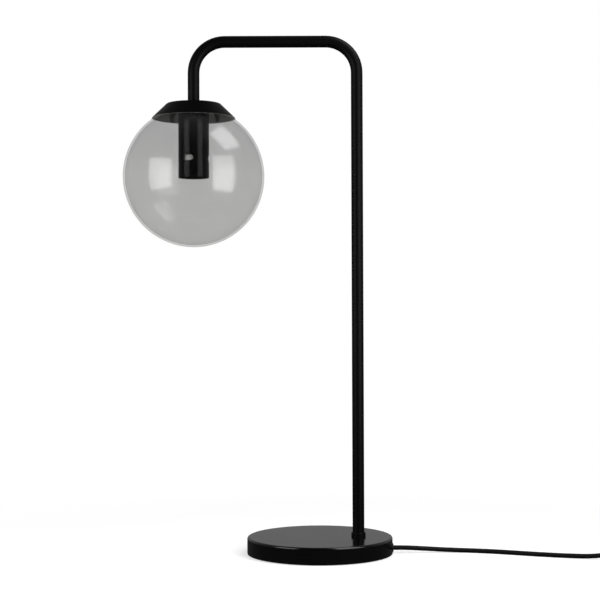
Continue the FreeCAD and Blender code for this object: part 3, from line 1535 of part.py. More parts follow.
along_x = Vector(1, 0, 0)
one_pin = Part.makeCylinder(value("pin_radius"), value("pin_length"), Vector(), along_x)
tip = [edge for edge in one_pin.Edges if edge.BoundBox.XMax < TOLERANCE]
root_length = value("pin_length + pin_root - pin_tip_radius")
root = Part.makeCylinder(value("pin_root_radius"), root_length, Vector(), along_x)
root.translate(along_x * value("pin_tip_radius"))
one_pin = one_pin.makeFillet(value("pin_tip_radius"), tip).fuse(root).removeSplitter()
pin_side = Vector(0, value("pin_spacing / 2"), 0)
pin_tips = Vector(value("plug_tail_x - plug_length - pin_length"), plug_in.y, plug_in.z)
plug_pins = plain_feature(
    "plug_pins",
    Part.makeCompound([one_pin.translated(pin_side * side) for side in (-1, 1)]),
    Placement(pin_tips, Rotation()),
)

# Check and write

NODES = [
    base_cover, base_weight, base_pad, foot_collar, base_nipple, base_washer, base_nut,
    cord_bush, cord_clamp, clamp_screws, cord_inner, live_wire, neutral_wire,
    arm_tube, top_nipple, cap, globe_clips, globe,
    holder_sleeve, holder_washer, holder_nuts, holder_bracket, bracket_screws,
    holder_body, screw_shell, centre_contact, holder_terminals, terminal_screws,
    cord_lead, switch_lower, switch_upper, switch_rocker, switch_screws, switch_contacts,
    cord_tail, cord_coil, cord_end, coil_tie, plug_body, plug_pins,
]
doc.recompute()
for thing in doc.Objects:
    if "Invalid" in thing.State or "Error" in thing.State:
        raise RuntimeError(f"{thing.Name} failed: {thing.State}")
for node in NODES:
    if node.Shape.isNull() or not node.Shape.isValid():
        raise RuntimeError(f"{node.Label} has no valid shape")
os.makedirs("parts", exist_ok=True)
for node in NODES:
    node.Shape.exportStep(os.path.join("parts", f"{node.Label}.step"))
print(f"{len(NODES)} nodes written")
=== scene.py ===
"""Dresses the table lamp: camera, cords, finishes, small visible parts, floor and soft light.

Blender's objects are in metres in the lamp's own frame: +Z up, the table at z = 0 and the
middle of the base at the origin. The sizes in the classes are in millimetres, apart from
those of the camera and the studio, which are in metres.
"""

import logging
import math
from dataclasses import dataclass, field
from enum import Enum
from typing import Any, Iterable, Mapping, Optional, Sequence, Union

import bmesh
import bpy
from mathutils import Matrix, Vector


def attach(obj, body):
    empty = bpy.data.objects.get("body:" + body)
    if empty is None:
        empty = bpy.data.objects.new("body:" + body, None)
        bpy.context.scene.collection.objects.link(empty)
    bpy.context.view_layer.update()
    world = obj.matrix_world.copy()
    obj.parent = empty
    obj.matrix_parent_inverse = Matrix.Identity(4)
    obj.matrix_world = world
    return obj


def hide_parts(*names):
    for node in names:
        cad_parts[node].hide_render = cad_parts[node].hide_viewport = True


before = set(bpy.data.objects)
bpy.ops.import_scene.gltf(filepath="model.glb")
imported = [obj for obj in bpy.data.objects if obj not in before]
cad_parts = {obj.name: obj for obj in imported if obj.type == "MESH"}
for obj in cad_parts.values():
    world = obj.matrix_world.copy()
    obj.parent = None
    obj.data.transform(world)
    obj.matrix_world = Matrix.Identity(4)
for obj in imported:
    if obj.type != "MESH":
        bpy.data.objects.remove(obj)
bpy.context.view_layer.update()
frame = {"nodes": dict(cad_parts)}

MM = 0.001
HEAD_X = -0.1345

Colour = tuple[float, float, float, float]
Point = tuple[float, float, float]

# Two numbers. Where one shapes a mask, they are where the mask starts and where it is full.
Pair = tuple[float, float]

WHITE: Colour = (1.0, 1.0, 1.0, 1.0)

# A Mix node's sockets for colours, which come after those for numbers and vectors.
MIX_LOW, MIX_HIGH, MIX_RESULT = 6, 7, 2

log = logging.getLogger("table_lamp")


class Kind(Enum):
    """The kinds of shader and texture node that the finishes use."""

    OUTPUT = "ShaderNodeOutputMaterial"
    WORLD_OUTPUT = "ShaderNodeOutputWorld"
    PRINCIPLED = "ShaderNodeBsdfPrincipled"
    GLOSSY = "ShaderNodeBsdfGlossy"
    CLEAR = "ShaderNodeBsdfTransparent"
    DIFFUSE = "ShaderNodeBsdfDiffuse"
    EMISSION = "ShaderNodeEmission"
    BACKGROUND = "ShaderNodeBackground"
    MIX_SHADER = "ShaderNodeMixShader"
    ADD_SHADER = "ShaderNodeAddShader"
    PLACE = "ShaderNodeTexCoord"
    LIGHT_PATH = "ShaderNodeLightPath"
    FACING = "ShaderNodeLayerWeight"
    NOISE = "ShaderNodeTexNoise"
    CELLS = "ShaderNodeTexVoronoi"
    RANGE = "ShaderNodeMapRange"
    MATH = "ShaderNodeMath"
    MIX = "ShaderNodeMix"
    VECTOR_MATH = "ShaderNodeVectorMath"
    SPLIT = "ShaderNodeSeparateXYZ"
    BUMP = "ShaderNodeBump"


class Ray(Enum):
    """The kinds of ray that the surround and the floor tell apart."""

    CAMERA = "Is Camera Ray"
    TRANSMISSION = "Is Transmission Ray"
    GLOSSY = "Is Glossy Ray"


class Signal:
    """One output socket that takes part in arithmetic, each sum adding its Math node."""

    def __init__(self, graph: "Graph", socket: bpy.types.NodeSocket) -> None:
        """Keeps the graph and the socket."""
        self.graph = graph
        self.socket = socket

    def _math(self, operation: str, *terms: "Value") -> "Signal":
        """Adds a Math node with the terms as its inputs, in order."""
        return self.graph.add(Kind.MATH, {"operation": operation}, dict(enumerate(terms)))

    def __add__(self, other: "Value") -> "Signal":
        """self + other."""
        return self._math("ADD", self, other)

    def __radd__(self, other: "Value") -> "Signal":
        """other + self."""
        return self._math("ADD", other, self)

    def __sub__(self, other: "Value") -> "Signal":
        """self - other."""
        return self._math("SUBTRACT", self, other)

    def __rsub__(self, other: "Value") -> "Signal":
        """other - self."""
        return self._math("SUBTRACT", other, self)

    def __mul__(self, other: "Value") -> "Signal":
        """self * other."""
        return self._math("MULTIPLY", self, other)

    def __rmul__(self, other: "Value") -> "Signal":
        """other * self."""
        return self._math("MULTIPLY", other, self)

    def __pow__(self, other: "Value") -> "Signal":
        """self to the power of other."""
        return self._math("POWER", self, other)

    def steps(self, low: float, high: float) -> "Signal":
        """Rises smoothly from 0 at low to 1 at high, or falls where high is the lower.

        Args:
            low: Where the result is 0.
            high: Where the result is 1.

        Returns:
            The mask.
        """
        rise = {"interpolation_type": "SMOOTHSTEP", "clamp": True}
        if low <= high:
            return self.graph.add(Kind.RANGE, rise, {0: self, 1: low, 2: high, 3: 0.0, 4: 1.0})
        return self.graph.add(Kind.RANGE, rise, {0: self, 1: high, 2: low, 3: 1.0, 4: 0.0})

    def between(self, low: "Value", high: "Value") -> "Signal":
        """A colour from low at 0 to high at 1, through a Mix node.

        Args:
            low: The colour at 0.
            high: The colour at 1.

        Returns:
            The mixed colour.
        """
        values = {0: self, MIX_LOW: low, MIX_HIGH: high}
        return self.graph.add(Kind.MIX, {"data_type": "RGBA"}, values, MIX_RESULT)


Value = Union[Signal, float, Colour, Point]


class Graph:
    """The nodes of one material or world, all made by one method."""

    def __init__(self, tree: bpy.types.NodeTree) -> None:
        """Empties the tree."""
        self.tree = tree
        tree.nodes.clear()

    def add(
        self,
        kind: Kind,
        settings: Optional[Mapping[str, Any]] = None,
        values: Optional[Mapping[Union[int, str], Value]] = None,
        output: Union[int, str] = 0,
    ) -> Signal:
        """Makes a node: its settings first, then its sockets' values and links.

        Args:
            kind: The kind of node.
            settings: Attributes of the node.
            values: A number, colour or link for each named or numbered input.
            output: Which output the result stands for.

        Returns:
            The node's output, or its first input for a node with no output.
        """
        node = self.tree.nodes.new(kind.value)
        for name, choice in (settings or {}).items():
            setattr(node, name, choice)
        for key, given in (values or {}).items():
            if isinstance(given, Signal):
                self.tree.links.new(given.socket, node.inputs[key])
            else:
                node.inputs[key].default_value = given
        return Signal(self, node.outputs[output] if len(node.outputs) else node.inputs[0])

    def place(self) -> Signal:
        """The point on the piece in millimetres, in the lamp's frame."""
        where = self.add(Kind.PLACE, output="Object")
        return self.add(Kind.VECTOR_MATH, {"operation": "SCALE"}, {0: where, "Scale": 1 / MM})

    def along(self, axis: str) -> Signal:
        """One coordinate of the point on the piece, in millimetres."""
        return self.add(Kind.SPLIT, values={0: self.place()}, output=axis)

    def noise(self, size: float, detail: float = 2.0, stretch: Point = (1.0, 1.0, 1.0)) -> Signal:
        """Cloudy noise about 0.5.

        Args:
            size: The width of one cloud in millimetres.
            detail: How many finer layers it has.
            stretch: How much longer the clouds are along X, Y and Z.

        Returns:
            The noise.
        """
        shrink = tuple(1 / (size * share) for share in stretch)
        where = self.add(Kind.VECTOR_MATH, {"operation": "MULTIPLY"}, {0: self.place(), 1: shrink})
        return self.add(Kind.NOISE, values={"Vector": where, "Scale": 1.0, "Detail": detail})

    def cells(self, size: float) -> Signal:
        """The distance to the nearest of scattered points, which are size millimetres apart."""
        values = {"Vector": self.place(), "Scale": 1 / size}
        return self.add(Kind.CELLS, values=values, output="Distance")

    def specks(self, gap: float, radius: float, core: float = 0.4) -> Signal:
        """A mask of small round specks, 1 inside a speck and 0 elsewhere.

        Args:
            gap: How far apart they are, in millimetres.
            radius: Their radius as a share of that.
            core: The share of the radius that is fully covered.

        Returns:
            The mask.
        """
        return self.cells(gap).steps(radius, radius * core)

    def bump(self, height: Signal, depth: float) -> Signal:
        """A normal from a height between 0 and 1, where 1 is depth millimetres."""
        values = {"Strength": 1.0, "Distance": depth * MM, "Height": height}
        return self.add(Kind.BUMP, values=values)

    def ray(self, ray: Ray) -> Signal:
        """1 for one kind of ray and 0 for the others."""
        return self.add(Kind.LIGHT_PATH, output=ray.value)

    def glow(self, strength: float) -> Signal:
        """A shader that gives off even white light."""
        return self.add(Kind.EMISSION, values={"Color": WHITE, "Strength": strength})

    def blend(self, factor: Signal, first: Signal, second: Signal) -> Signal:
        """One shader where the factor is 0 and another where it is 1."""
        return self.add(Kind.MIX_SHADER, values={0: factor, 1: first, 2: second})


@dataclass(frozen=True)
class Finish:
    """What every finish has: a name, and the record's slot that it stands for."""

    name: str
    slot: str

    def surface(self, graph: Graph) -> Signal:
        """Builds the finish's shader. Each kind of finish has its own."""
        raise NotImplementedError

    def material(self) -> bpy.types.Material:
        """Gives the finish as a material, and makes it on first use.

        Returns:
            The material.
        """
        made = bpy.data.materials.get(self.name)
        if made is None:
            made = bpy.data.materials.new(self.name)
            made.use_nodes = True
            graph = Graph(made.node_tree)
            graph.add(Kind.OUTPUT, values={"Surface": self.surface(graph)})
        return made

    def dress(self, piece: bpy.types.Object) -> None:
        """Puts the finish on every material slot of a piece.

        Args:
            piece: The piece.
        """
        if not piece.material_slots:
            piece.data.materials.append(self.material())
        for slot in piece.material_slots:
            slot.material = self.material()


@dataclass(frozen=True)
class Lacquer(Finish):
    """Sprayed black lacquer on steel, from gloss to satin, with its orange peel and fine dust.

    A piece that is sprayed from outside only has its inner colour on faces that look down; a pale inner
    colour there is partly a grey coat and partly painted reflection of the glass in front of it.
    """

    roughness: float
    peel_depth: float
    peel_size: float = 1.6
    sheen: float = 0.5
    colour: Colour = (0.0012, 0.0012, 0.0013, 1.0)
    spread: float = 0.05
    cloud_size: float = 26.0
    dust: float = 0.012
    dust_gap: float = 2.6
    dust_radius: float = 0.07
    dust_roughness: float = 0.25
    dusty_size: float = 9.0
    dusty: Pair = (0.5, 0.62)
    # The colour inside (a grey coat, lightened as painted reflection), its thinnest cover, and the
    # normal's Z from where it starts.
    inner: Optional[Colour] = None
    inner_thinnest: float = 0.55
    looks_down: Pair = (-0.2, -0.5)

    def surface(self, graph: Graph) -> Signal:
        """Lacquer with a slow change of gloss, orange peel and a few pale specks of dust.

        Args:
            graph: The material's nodes.

        Returns:
            The shader.
        """
        cloud = graph.noise(self.cloud_size, detail=3.0)
        dusty = graph.noise(self.dusty_size, detail=1.0).steps(*self.dusty)
        specks = graph.specks(self.dust_gap, self.dust_radius) * dusty
        pale = tuple(part + self.dust for part in self.colour[:3]) + (1.0,)
        peel = graph.noise(self.peel_size, detail=1.5)
        rough = self.roughness - self.spread / 2 + self.spread * cloud + self.dust_roughness * specks
        colour = specks.between(self.colour, pale)
        # Faces that look down take the inner colour: part real coat, part painted reflection.
        if self.inner:
            normal = graph.add(Kind.PLACE, output="Normal")
            below = graph.add(Kind.SPLIT, values={0: normal}, output="Z").steps(*self.looks_down)
            cover = self.inner_thinnest + (1 - self.inner_thinnest) * cloud
            colour = (below * cover).between(colour, self.inner)
        return graph.add(
            Kind.PRINCIPLED,
            values={
                "Base Color": colour,
                "Roughness": rough,
                "Specular IOR Level": self.sheen,
                "Normal": graph.bump(peel, self.peel_depth),
            },
        )


@dataclass(frozen=True)
class SmokyGlass(Finish):
    """Thin blown glass that takes a little light at each wall, and more near its neck and rim."""

    tint: Colour = (0.836, 0.837, 0.833, 1.0)
    edge_tint: Colour = (0.8, 0.8, 0.8, 1.0)
    edge_power: float = 6.0
    roughness: float = 0.18
    # Shine seen square on and edge on, and the inner skin's share of what the edge adds.
    least_shine: float = 0.04
    most_shine: float = 0.26
    inner_shine: float = 0.3
    shine_power: float = 5.0
    # The ball's middle, and the distance from it that parts the outer skin from the inner.
    middle: Point = (-134.5, 0.0, 405.66)
    mid_wall: float = 74.9
    wall_reach: float = 0.3
    # The heights between which the glass thickens towards its neck.
    neck: Pair = (360.0, 490.0)
    neck_depth: float = 0.9
    streak_size: float = 11.0
    streak_stretch: Point = (1.0, 1.0, 2.4)
    streaks: Pair = (0.3, 0.7)
    streak_depth: float = 0.1
    seed_gap: float = 4.2
    seed_radius: float = 0.06
    seed_shine: float = 0.05
    seeded_size: float = 14.0
    seeded: Pair = (0.52, 0.6)
    wave_size: float = 17.0
    wave_depth: float = 0.05
    ripple_size: float = 3.2
    ripple: float = 0.12

    def surface(self, graph: Graph) -> Signal:
        """See-through glass whose shine grows towards the rim, with the blowing's faint waves.

        Args:
            graph: The material's nodes.

        Returns:
            The shader.
        """
        height = graph.noise(self.wave_size) + self.ripple * graph.noise(self.ripple_size)
        waves = graph.bump(height, self.wave_depth)
        facing = graph.add(Kind.FACING, values={"Blend": 0.5}, output="Facing")
        ends = {0: graph.place(), 1: self.middle}
        away = graph.add(Kind.VECTOR_MATH, {"operation": "DISTANCE"}, ends, "Value")
        outside = away.steps(self.mid_wall - self.wall_reach, self.mid_wall + self.wall_reach)
        wall = self.inner_shine + (1 - self.inner_shine) * outside
        rise = (self.most_shine - self.least_shine) * wall * facing**self.shine_power
        seeded = graph.noise(self.seeded_size, detail=1.0).steps(*self.seeded)
        seeds = graph.specks(self.seed_gap, self.seed_radius) * seeded
        shine = self.least_shine + rise + self.seed_shine * seeds
        flow = graph.noise(self.streak_size, detail=3.0, stretch=self.streak_stretch)
        streaks = flow.steps(*self.streaks)
        thick = self.neck_depth * graph.along("Z").steps(*self.neck) + self.streak_depth * streaks
        depth = thick + outside * facing**self.edge_power
        clear = graph.add(Kind.CLEAR, values={"Color": self.tint})
        edge = graph.add(Kind.CLEAR, values={"Color": self.edge_tint})
        gloss = {"Color": WHITE, "Roughness": self.roughness, "Normal": waves}
        return graph.blend(shine, graph.blend(depth, clear, edge), graph.add(Kind.GLOSSY, values=gloss))


@dataclass(frozen=True)
class Porcelain(Finish):
    """Glazed white porcelain with a thin uneven glaze and a few kiln specks."""

    white: Colour = (0.78, 0.77, 0.73, 1.0)
    pooled: Colour = (0.86, 0.855, 0.83, 1.0)
    pool_size: float = 7.0
    pools: Pair = (0.35, 0.7)
    speck: Colour = (0.35, 0.31, 0.26, 1.0)
    speck_gap: float = 2.2
    speck_radius: float = 0.05
    speck_cover: float = 0.5
    roughness: float = 0.16
    rough_size: float = 4.0
    rough_spread: float = 0.1
    coat: float = 0.3
    coat_roughness: float = 0.08
    ripple_size: float = 2.4
    ripple_depth: float = 0.02

    def surface(self, graph: Graph) -> Signal:
        """Glaze over a white body, a little paler where the glaze pools.

        Args:
            graph: The material's nodes.

        Returns:
            The shader.
        """
        pools = graph.noise(self.pool_size, detail=3.0).steps(*self.pools)
        specks = graph.specks(self.speck_gap, self.speck_radius) * self.speck_cover
        return graph.add(
            Kind.PRINCIPLED,
            values={
                "Base Color": specks.between(pools.between(self.white, self.pooled), self.speck),
                "Roughness": self.roughness + self.rough_spread * graph.noise(self.rough_size),
                "Coat Weight": self.coat,
                "Coat Roughness": self.coat_roughness,
                "Normal": graph.bump(graph.noise(self.ripple_size), self.ripple_depth),
            },
        )


@dataclass(frozen=True)
class Metal(Finish):
    """Bare or plated metal with fine scratches and patches that have dulled."""

    colour: Colour
    dull: Colour
    roughness: float = 0.3
    dull_size: float = 5.0
    dulled: Pair = (0.42, 0.68)
    dull_roughness: float = 0.16
    grain: Point = (1.0, 1.0, 8.0)
    grain_size: float = 0.35
    grain_roughness: float = 0.12
    grain_depth: float = 0.006

    def surface(self, graph: Graph) -> Signal:
        """Metal with grain along one axis and patches where its plating has dulled.

        Args:
            graph: The material's nodes.

        Returns:
            The shader.
        """
        patches = graph.noise(self.dull_size, detail=4.0).steps(*self.dulled)
        scratches = graph.noise(self.grain_size, detail=3.0, stretch=self.grain)
        rough = self.roughness + self.dull_roughness * patches
        return graph.add(
            Kind.PRINCIPLED,
            values={
                "Base Color": patches.between(self.colour, self.dull),
                "Metallic": 1.0,
                "Roughness": rough + self.grain_roughness * (scratches - 0.5),
                "Normal": graph.bump(scratches, self.grain_depth),
            },
        )


@dataclass(frozen=True)
class CastIron(Finish):
    """Grey cast iron as it leaves the sand, with a thin film of rust in places."""

    iron: Colour = (0.075, 0.072, 0.07, 1.0)
    rust: Colour = (0.16, 0.072, 0.032, 1.0)
    rust_size: float = 12.0
    rust_sand: float = 0.3
    rusted: Pair = (0.66, 0.82)
    metallic: float = 0.75
    rust_metallic: float = 0.15
    roughness: float = 0.62
    sand_size: float = 0.9
    sand_roughness: float = 0.2
    skin_depth: float = 0.22
    pit_gap: float = 3.4
    pit_radius: float = 0.16
    pit_share: float = 0.6

    def surface(self, graph: Graph) -> Signal:
        """Sand-cast skin with pits and rust.

        Args:
            graph: The material's nodes.

        Returns:
            The shader.
        """
        sand = graph.noise(self.sand_size, detail=5.0)
        pits = graph.specks(self.pit_gap, self.pit_radius)
        rust = (graph.noise(self.rust_size, detail=4.0) + self.rust_sand * sand).steps(*self.rusted)
        return graph.add(
            Kind.PRINCIPLED,
            values={
                "Base Color": rust.between(self.iron, self.rust),
                "Metallic": self.metallic - (self.metallic - self.rust_metallic) * rust,
                "Roughness": self.roughness + self.sand_roughness * sand,
                "Normal": graph.bump(sand - self.pit_share * pits, self.skin_depth),
            },
        )


@dataclass(frozen=True)
class Moulded(Finish):
    """Moulded plastic or rubber: grain from the mould, and places rubbed paler and glossier."""

    colour: Colour = (0.012, 0.012, 0.0125, 1.0)
    rubbed: Colour = (0.03, 0.03, 0.031, 1.0)
    roughness: float = 0.45
    grain_size: float = 0.5
    grain_depth: float = 0.02
    sheen: float = 0.5
    # The finer grain's width and height, as shares of the grain's own.
    fine_size: float = 0.6
    fine_share: float = 0.4
    handled_size: float = 13.0
    handled: Pair = (0.45, 0.75)
    # How much the grain and the handling each change the roughness.
    change: float = 0.1

    def surface(self, graph: Graph) -> Signal:
        """Grained plastic with lighter, glossier places where it is handled.

        Args:
            graph: The material's nodes.

        Returns:
            The shader.
        """
        handled = graph.noise(self.handled_size, detail=4.0).steps(*self.handled)
        fine = graph.noise(self.grain_size * self.fine_size)
        grain = graph.cells(self.grain_size) + self.fine_share * fine
        return graph.add(
            Kind.PRINCIPLED,
            values={
                "Base Color": handled.between(self.colour, self.rubbed),
                "Roughness": self.roughness + self.change * grain - self.change * handled,
                "Specular IOR Level": self.sheen,
                "Normal": graph.bump(grain, self.grain_depth),
            },
        )


@dataclass(frozen=True)
class SleevedPin(Finish):
    """A nickel-plated plug pin whose half next to the plug has a black insulating sleeve."""

    nickel: Colour = (0.62, 0.6, 0.56, 1.0)
    worn: Colour = (0.5, 0.46, 0.38, 1.0)
    plastic: Colour = (0.014, 0.014, 0.015, 1.0)
    sleeve_start: float = 333.5
    sleeve_edge: float = 0.15
    sleeve_roughness: float = 0.1
    wear_size: float = 0.5
    wear_stretch: Point = (6.0, 1.0, 1.0)
    wear_span: Pair = (0.4, 0.8)
    wear_roughness: float = 0.2
    wear_depth: float = 0.008
    roughness: float = 0.24

    def surface(self, graph: Graph) -> Signal:
        """Nickel at the tip and black plastic at the root, parted by a sharp edge.

        Args:
            graph: The material's nodes.

        Returns:
            The shader.
        """
        sleeve = graph.along("X").steps(self.sleeve_start, self.sleeve_start + self.sleeve_edge)
        wear = graph.noise(self.wear_size, detail=4.0, stretch=self.wear_stretch)
        metal = wear.steps(*self.wear_span).between(self.nickel, self.worn)
        rough = self.roughness + self.wear_roughness * wear + self.sleeve_roughness * sleeve
        return graph.add(
            Kind.PRINCIPLED,
            values={
                "Base Color": sleeve.between(metal, self.plastic),
                "Metallic": 1.0 - sleeve,
                "Roughness": rough,
                "Normal": graph.bump(wear, self.wear_depth),
            },
        )


@dataclass(frozen=True)
class Printed(Finish):
    """Pad-printed pale paint with small thin places."""

    colour: Colour = (0.72, 0.72, 0.7, 1.0)
    thin: float = 0.6
    gap_size: float = 0.4
    gap_span: Pair = (0.6, 0.75)
    gap_roughness: float = 0.2
    gap_depth: float = 0.01
    roughness: float = 0.5

    def surface(self, graph: Graph) -> Signal:
        """Matt paint, darker where it is thin.

        Args:
            graph: The material's nodes.

        Returns:
            The shader.
        """
        gaps = graph.noise(self.gap_size, detail=3.0).steps(*self.gap_span)
        dim = tuple(part * self.thin for part in self.colour[:3]) + (1.0,)
        return graph.add(
            Kind.PRINCIPLED,
            values={
                "Base Color": gaps.between(self.colour, dim),
                "Roughness": self.roughness + self.gap_roughness * gaps,
                "Normal": graph.bump(gaps, self.gap_depth),
            },
        )


GLOSS_LACQUER = Lacquer(
    "gloss_lacquer", "black_gloss", roughness=0.155, spread=0.06, peel_depth=0.003
)
SATIN_LACQUER = Lacquer(
    "satin_lacquer", "black_satin", roughness=0.46, sheen=0.1, peel_size=0.9, peel_depth=0.003
)
CAP_LACQUER = Lacquer(
    "cap_lacquer",
    "black_satin",
    roughness=0.32,
    sheen=0.04,
    peel_size=0.9,
    peel_depth=0.006,
    # Pale grey inside: partly the inner coat, partly painted reflection of the glass shoulder in front
    # of it.
    inner=(0.6, 0.603, 0.58, 1.0),
)
SLEEVE_LACQUER = Lacquer(
    "sleeve_lacquer", "black_satin", roughness=0.19, sheen=0.21, peel_size=0.8, peel_depth=0.005
)
GLOBE_GLASS = SmokyGlass("globe_glass", "clear_glass")
PORCELAIN = Porcelain("glazed_porcelain", "porcelain")
ZINC = Metal("zinc_plate", "zinc_steel", (0.58, 0.59, 0.6, 1.0), (0.36, 0.37, 0.38, 1.0))
SPRING = Metal(
    "spring_strip",
    "spring_steel",
    (0.03, 0.03, 0.032, 1.0),
    (0.016, 0.015, 0.016, 1.0),
    roughness=0.36,
    grain=(8.0, 8.0, 1.0),
)
BRASS = Metal(
    "rolled_brass", "brass_parts", (0.78, 0.56, 0.24, 1.0), (0.45, 0.29, 0.12, 1.0), roughness=0.26
)
IRON = CastIron("cast_iron", "cast_weight")
PAD_RUBBER = Moulded(
    "pad_rubber",
    "foot_rubber",
    (0.02, 0.02, 0.02, 1.0),
    (0.045, 0.043, 0.04, 1.0),
    roughness=0.75,
    grain_size=1.1,
    grain_depth=0.09,
)
BUSH_RUBBER = Moulded(
    "bush_rubber_skin",
    "bush_rubber",
    (0.01, 0.01, 0.01, 1.0),
    (0.022, 0.022, 0.022, 1.0),
    roughness=0.6,
    grain_size=0.6,
)
CORD_JACKET = Moulded(
    "cord_jacket",
    "cord_black",
    (0.0025, 0.0025, 0.0027, 1.0),
    (0.006, 0.006, 0.0063, 1.0),
    roughness=0.42,
    grain_size=0.7,
    grain_depth=0.012,
    sheen=0.2,
)
LIVE_JACKET = Moulded(
    "live_jacket",
    "live_brown",
    (0.13, 0.045, 0.02, 1.0),
    (0.17, 0.065, 0.03, 1.0),
    roughness=0.4,
    grain_size=0.6,
    grain_depth=0.01,
)
NEUTRAL_JACKET = Moulded(
    "neutral_jacket",
    "neutral_blue",
    (0.02, 0.09, 0.33, 1.0),
    (0.035, 0.12, 0.4, 1.0),
    roughness=0.4,
    grain_size=0.6,
    grain_depth=0.01,
)
SWITCH_SHELL = Moulded("switch_shell", "switch_black")
ROCKER_PLASTIC = Moulded(
    "rocker_plastic",
    "rocker_black",
    (0.007, 0.007, 0.0075, 1.0),
    (0.018, 0.018, 0.018, 1.0),
    roughness=0.26,
    grain_size=0.8,
    grain_depth=0.006,
)
PLUG_RUBBER = Moulded(
    "plug_rubber",
    "plug_black",
    (0.01, 0.01, 0.0105, 1.0),
    (0.024, 0.024, 0.025, 1.0),
    roughness=0.52,
    grain_size=0.6,
    grain_depth=0.03,
)
TIE_PLASTIC = Moulded(
    "tie_plastic",
    "tie_black",
    (0.011, 0.011, 0.011, 1.0),
    (0.026, 0.026, 0.027, 1.0),
    roughness=0.5,
)
PIN_PLATE = SleevedPin("sleeved_pin", "pin_metal")
PRINT = Printed("printed_mark", "rocker_black")

NODE_FINISHES: dict[Finish, tuple[str, ...]] = {
    GLOSS_LACQUER: ("base_cover",),
    SATIN_LACQUER: ("foot_collar", "arm_tube"),
    CAP_LACQUER: ("cap",),
    SLEEVE_LACQUER: ("holder_sleeve",),
    GLOBE_GLASS: ("globe",),
    PORCELAIN: ("holder_body",),
    ZINC: (
        "base_nipple",
        "base_washer",
        "base_nut",
        "clamp_screws",
        "top_nipple",
        "holder_washer",
        "holder_nuts",
        "holder_bracket",
        "bracket_screws",
        "switch_screws",
    ),
    SPRING: ("globe_clips",),
    BRASS: ("screw_shell", "centre_contact", "holder_terminals", "terminal_screws", "switch_contacts"),
    IRON: ("base_weight",),
    PAD_RUBBER: ("base_pad",),
    BUSH_RUBBER: ("cord_bush",),
    CORD_JACKET: ("cord_inner",),
    LIVE_JACKET: ("live_wire",),
    NEUTRAL_JACKET: ("neutral_wire",),
    SWITCH_SHELL: ("switch_lower", "switch_upper", "cord_clamp"),
    ROCKER_PLASTIC: ("switch_rocker",),
    PLUG_RUBBER: ("plug_body",),
    TIE_PLASTIC: ("coil_tie",),
    PIN_PLATE: ("plug_pins",),
}


def mesh_piece(
    name: str, build: bmesh.types.BMesh, finish: Finish, smooth: bool = True
) -> bpy.types.Object:
    """Turns a bmesh into a piece.

    Args:
        name: The piece's name.
        build: Its mesh, in metres in the lamp's frame. It is freed.
        finish: What it is dressed in.
        smooth: Whether its faces are shaded smooth.

    Returns:
        The piece, linked to the scene.
    """
    mesh = bpy.data.meshes.new(name)
    bmesh.ops.recalc_face_normals(build, faces=build.faces)
    build.to_mesh(mesh)
    build.free()
    for face in mesh.polygons:
        face.use_smooth = smooth
    piece = bpy.data.objects.new(name, mesh)
    bpy.context.scene.collection.objects.link(piece)
    finish.dress(piece)
    return piece


def fitted(piece: bpy.types.Object, body: str, finish: Finish, *nodes: str) -> bpy.types.Object:
    """Makes a piece ride on a body, and lets it stand for CAD nodes.

    Args:
        piece: The piece.
        body: The CAD body that it rides on.
        finish: The finish; not used.
        nodes: The CAD nodes that it replaces.

    Returns:
        The piece.
    """
    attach(piece, body)
    if nodes:
        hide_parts(*nodes)
    log.info("made %s on %s", piece.name, body)
    return piece


@dataclass
class PhotoCamera:
    """The camera at the photograph's place.

    Its place is in metres, its tilt and roll in degrees, its lens and sensor in millimetres.
    """

    place: Point = (-0.0205, -1.5, 0.255)
    tilt: float = 90.658
    roll: float = -0.2
    lens: float = 83.58
    sensor: float = 36.0

    def build(self) -> bpy.types.Object:
        """Makes the scene's camera.

        Returns:
            The camera.
        """
        data = bpy.data.cameras.new("photo_camera")
        data.lens = self.lens
        data.sensor_width = self.sensor
        camera = bpy.data.objects.new("photo_camera", data)
        turn = Matrix.Rotation(math.radians(self.tilt), 4, "X")
        turn = turn @ Matrix.Rotation(math.radians(self.roll), 4, "Z")
        camera.matrix_world = Matrix.Translation(self.place) @ turn
        bpy.context.scene.collection.objects.link(camera)
        bpy.context.scene.camera = camera
        return camera


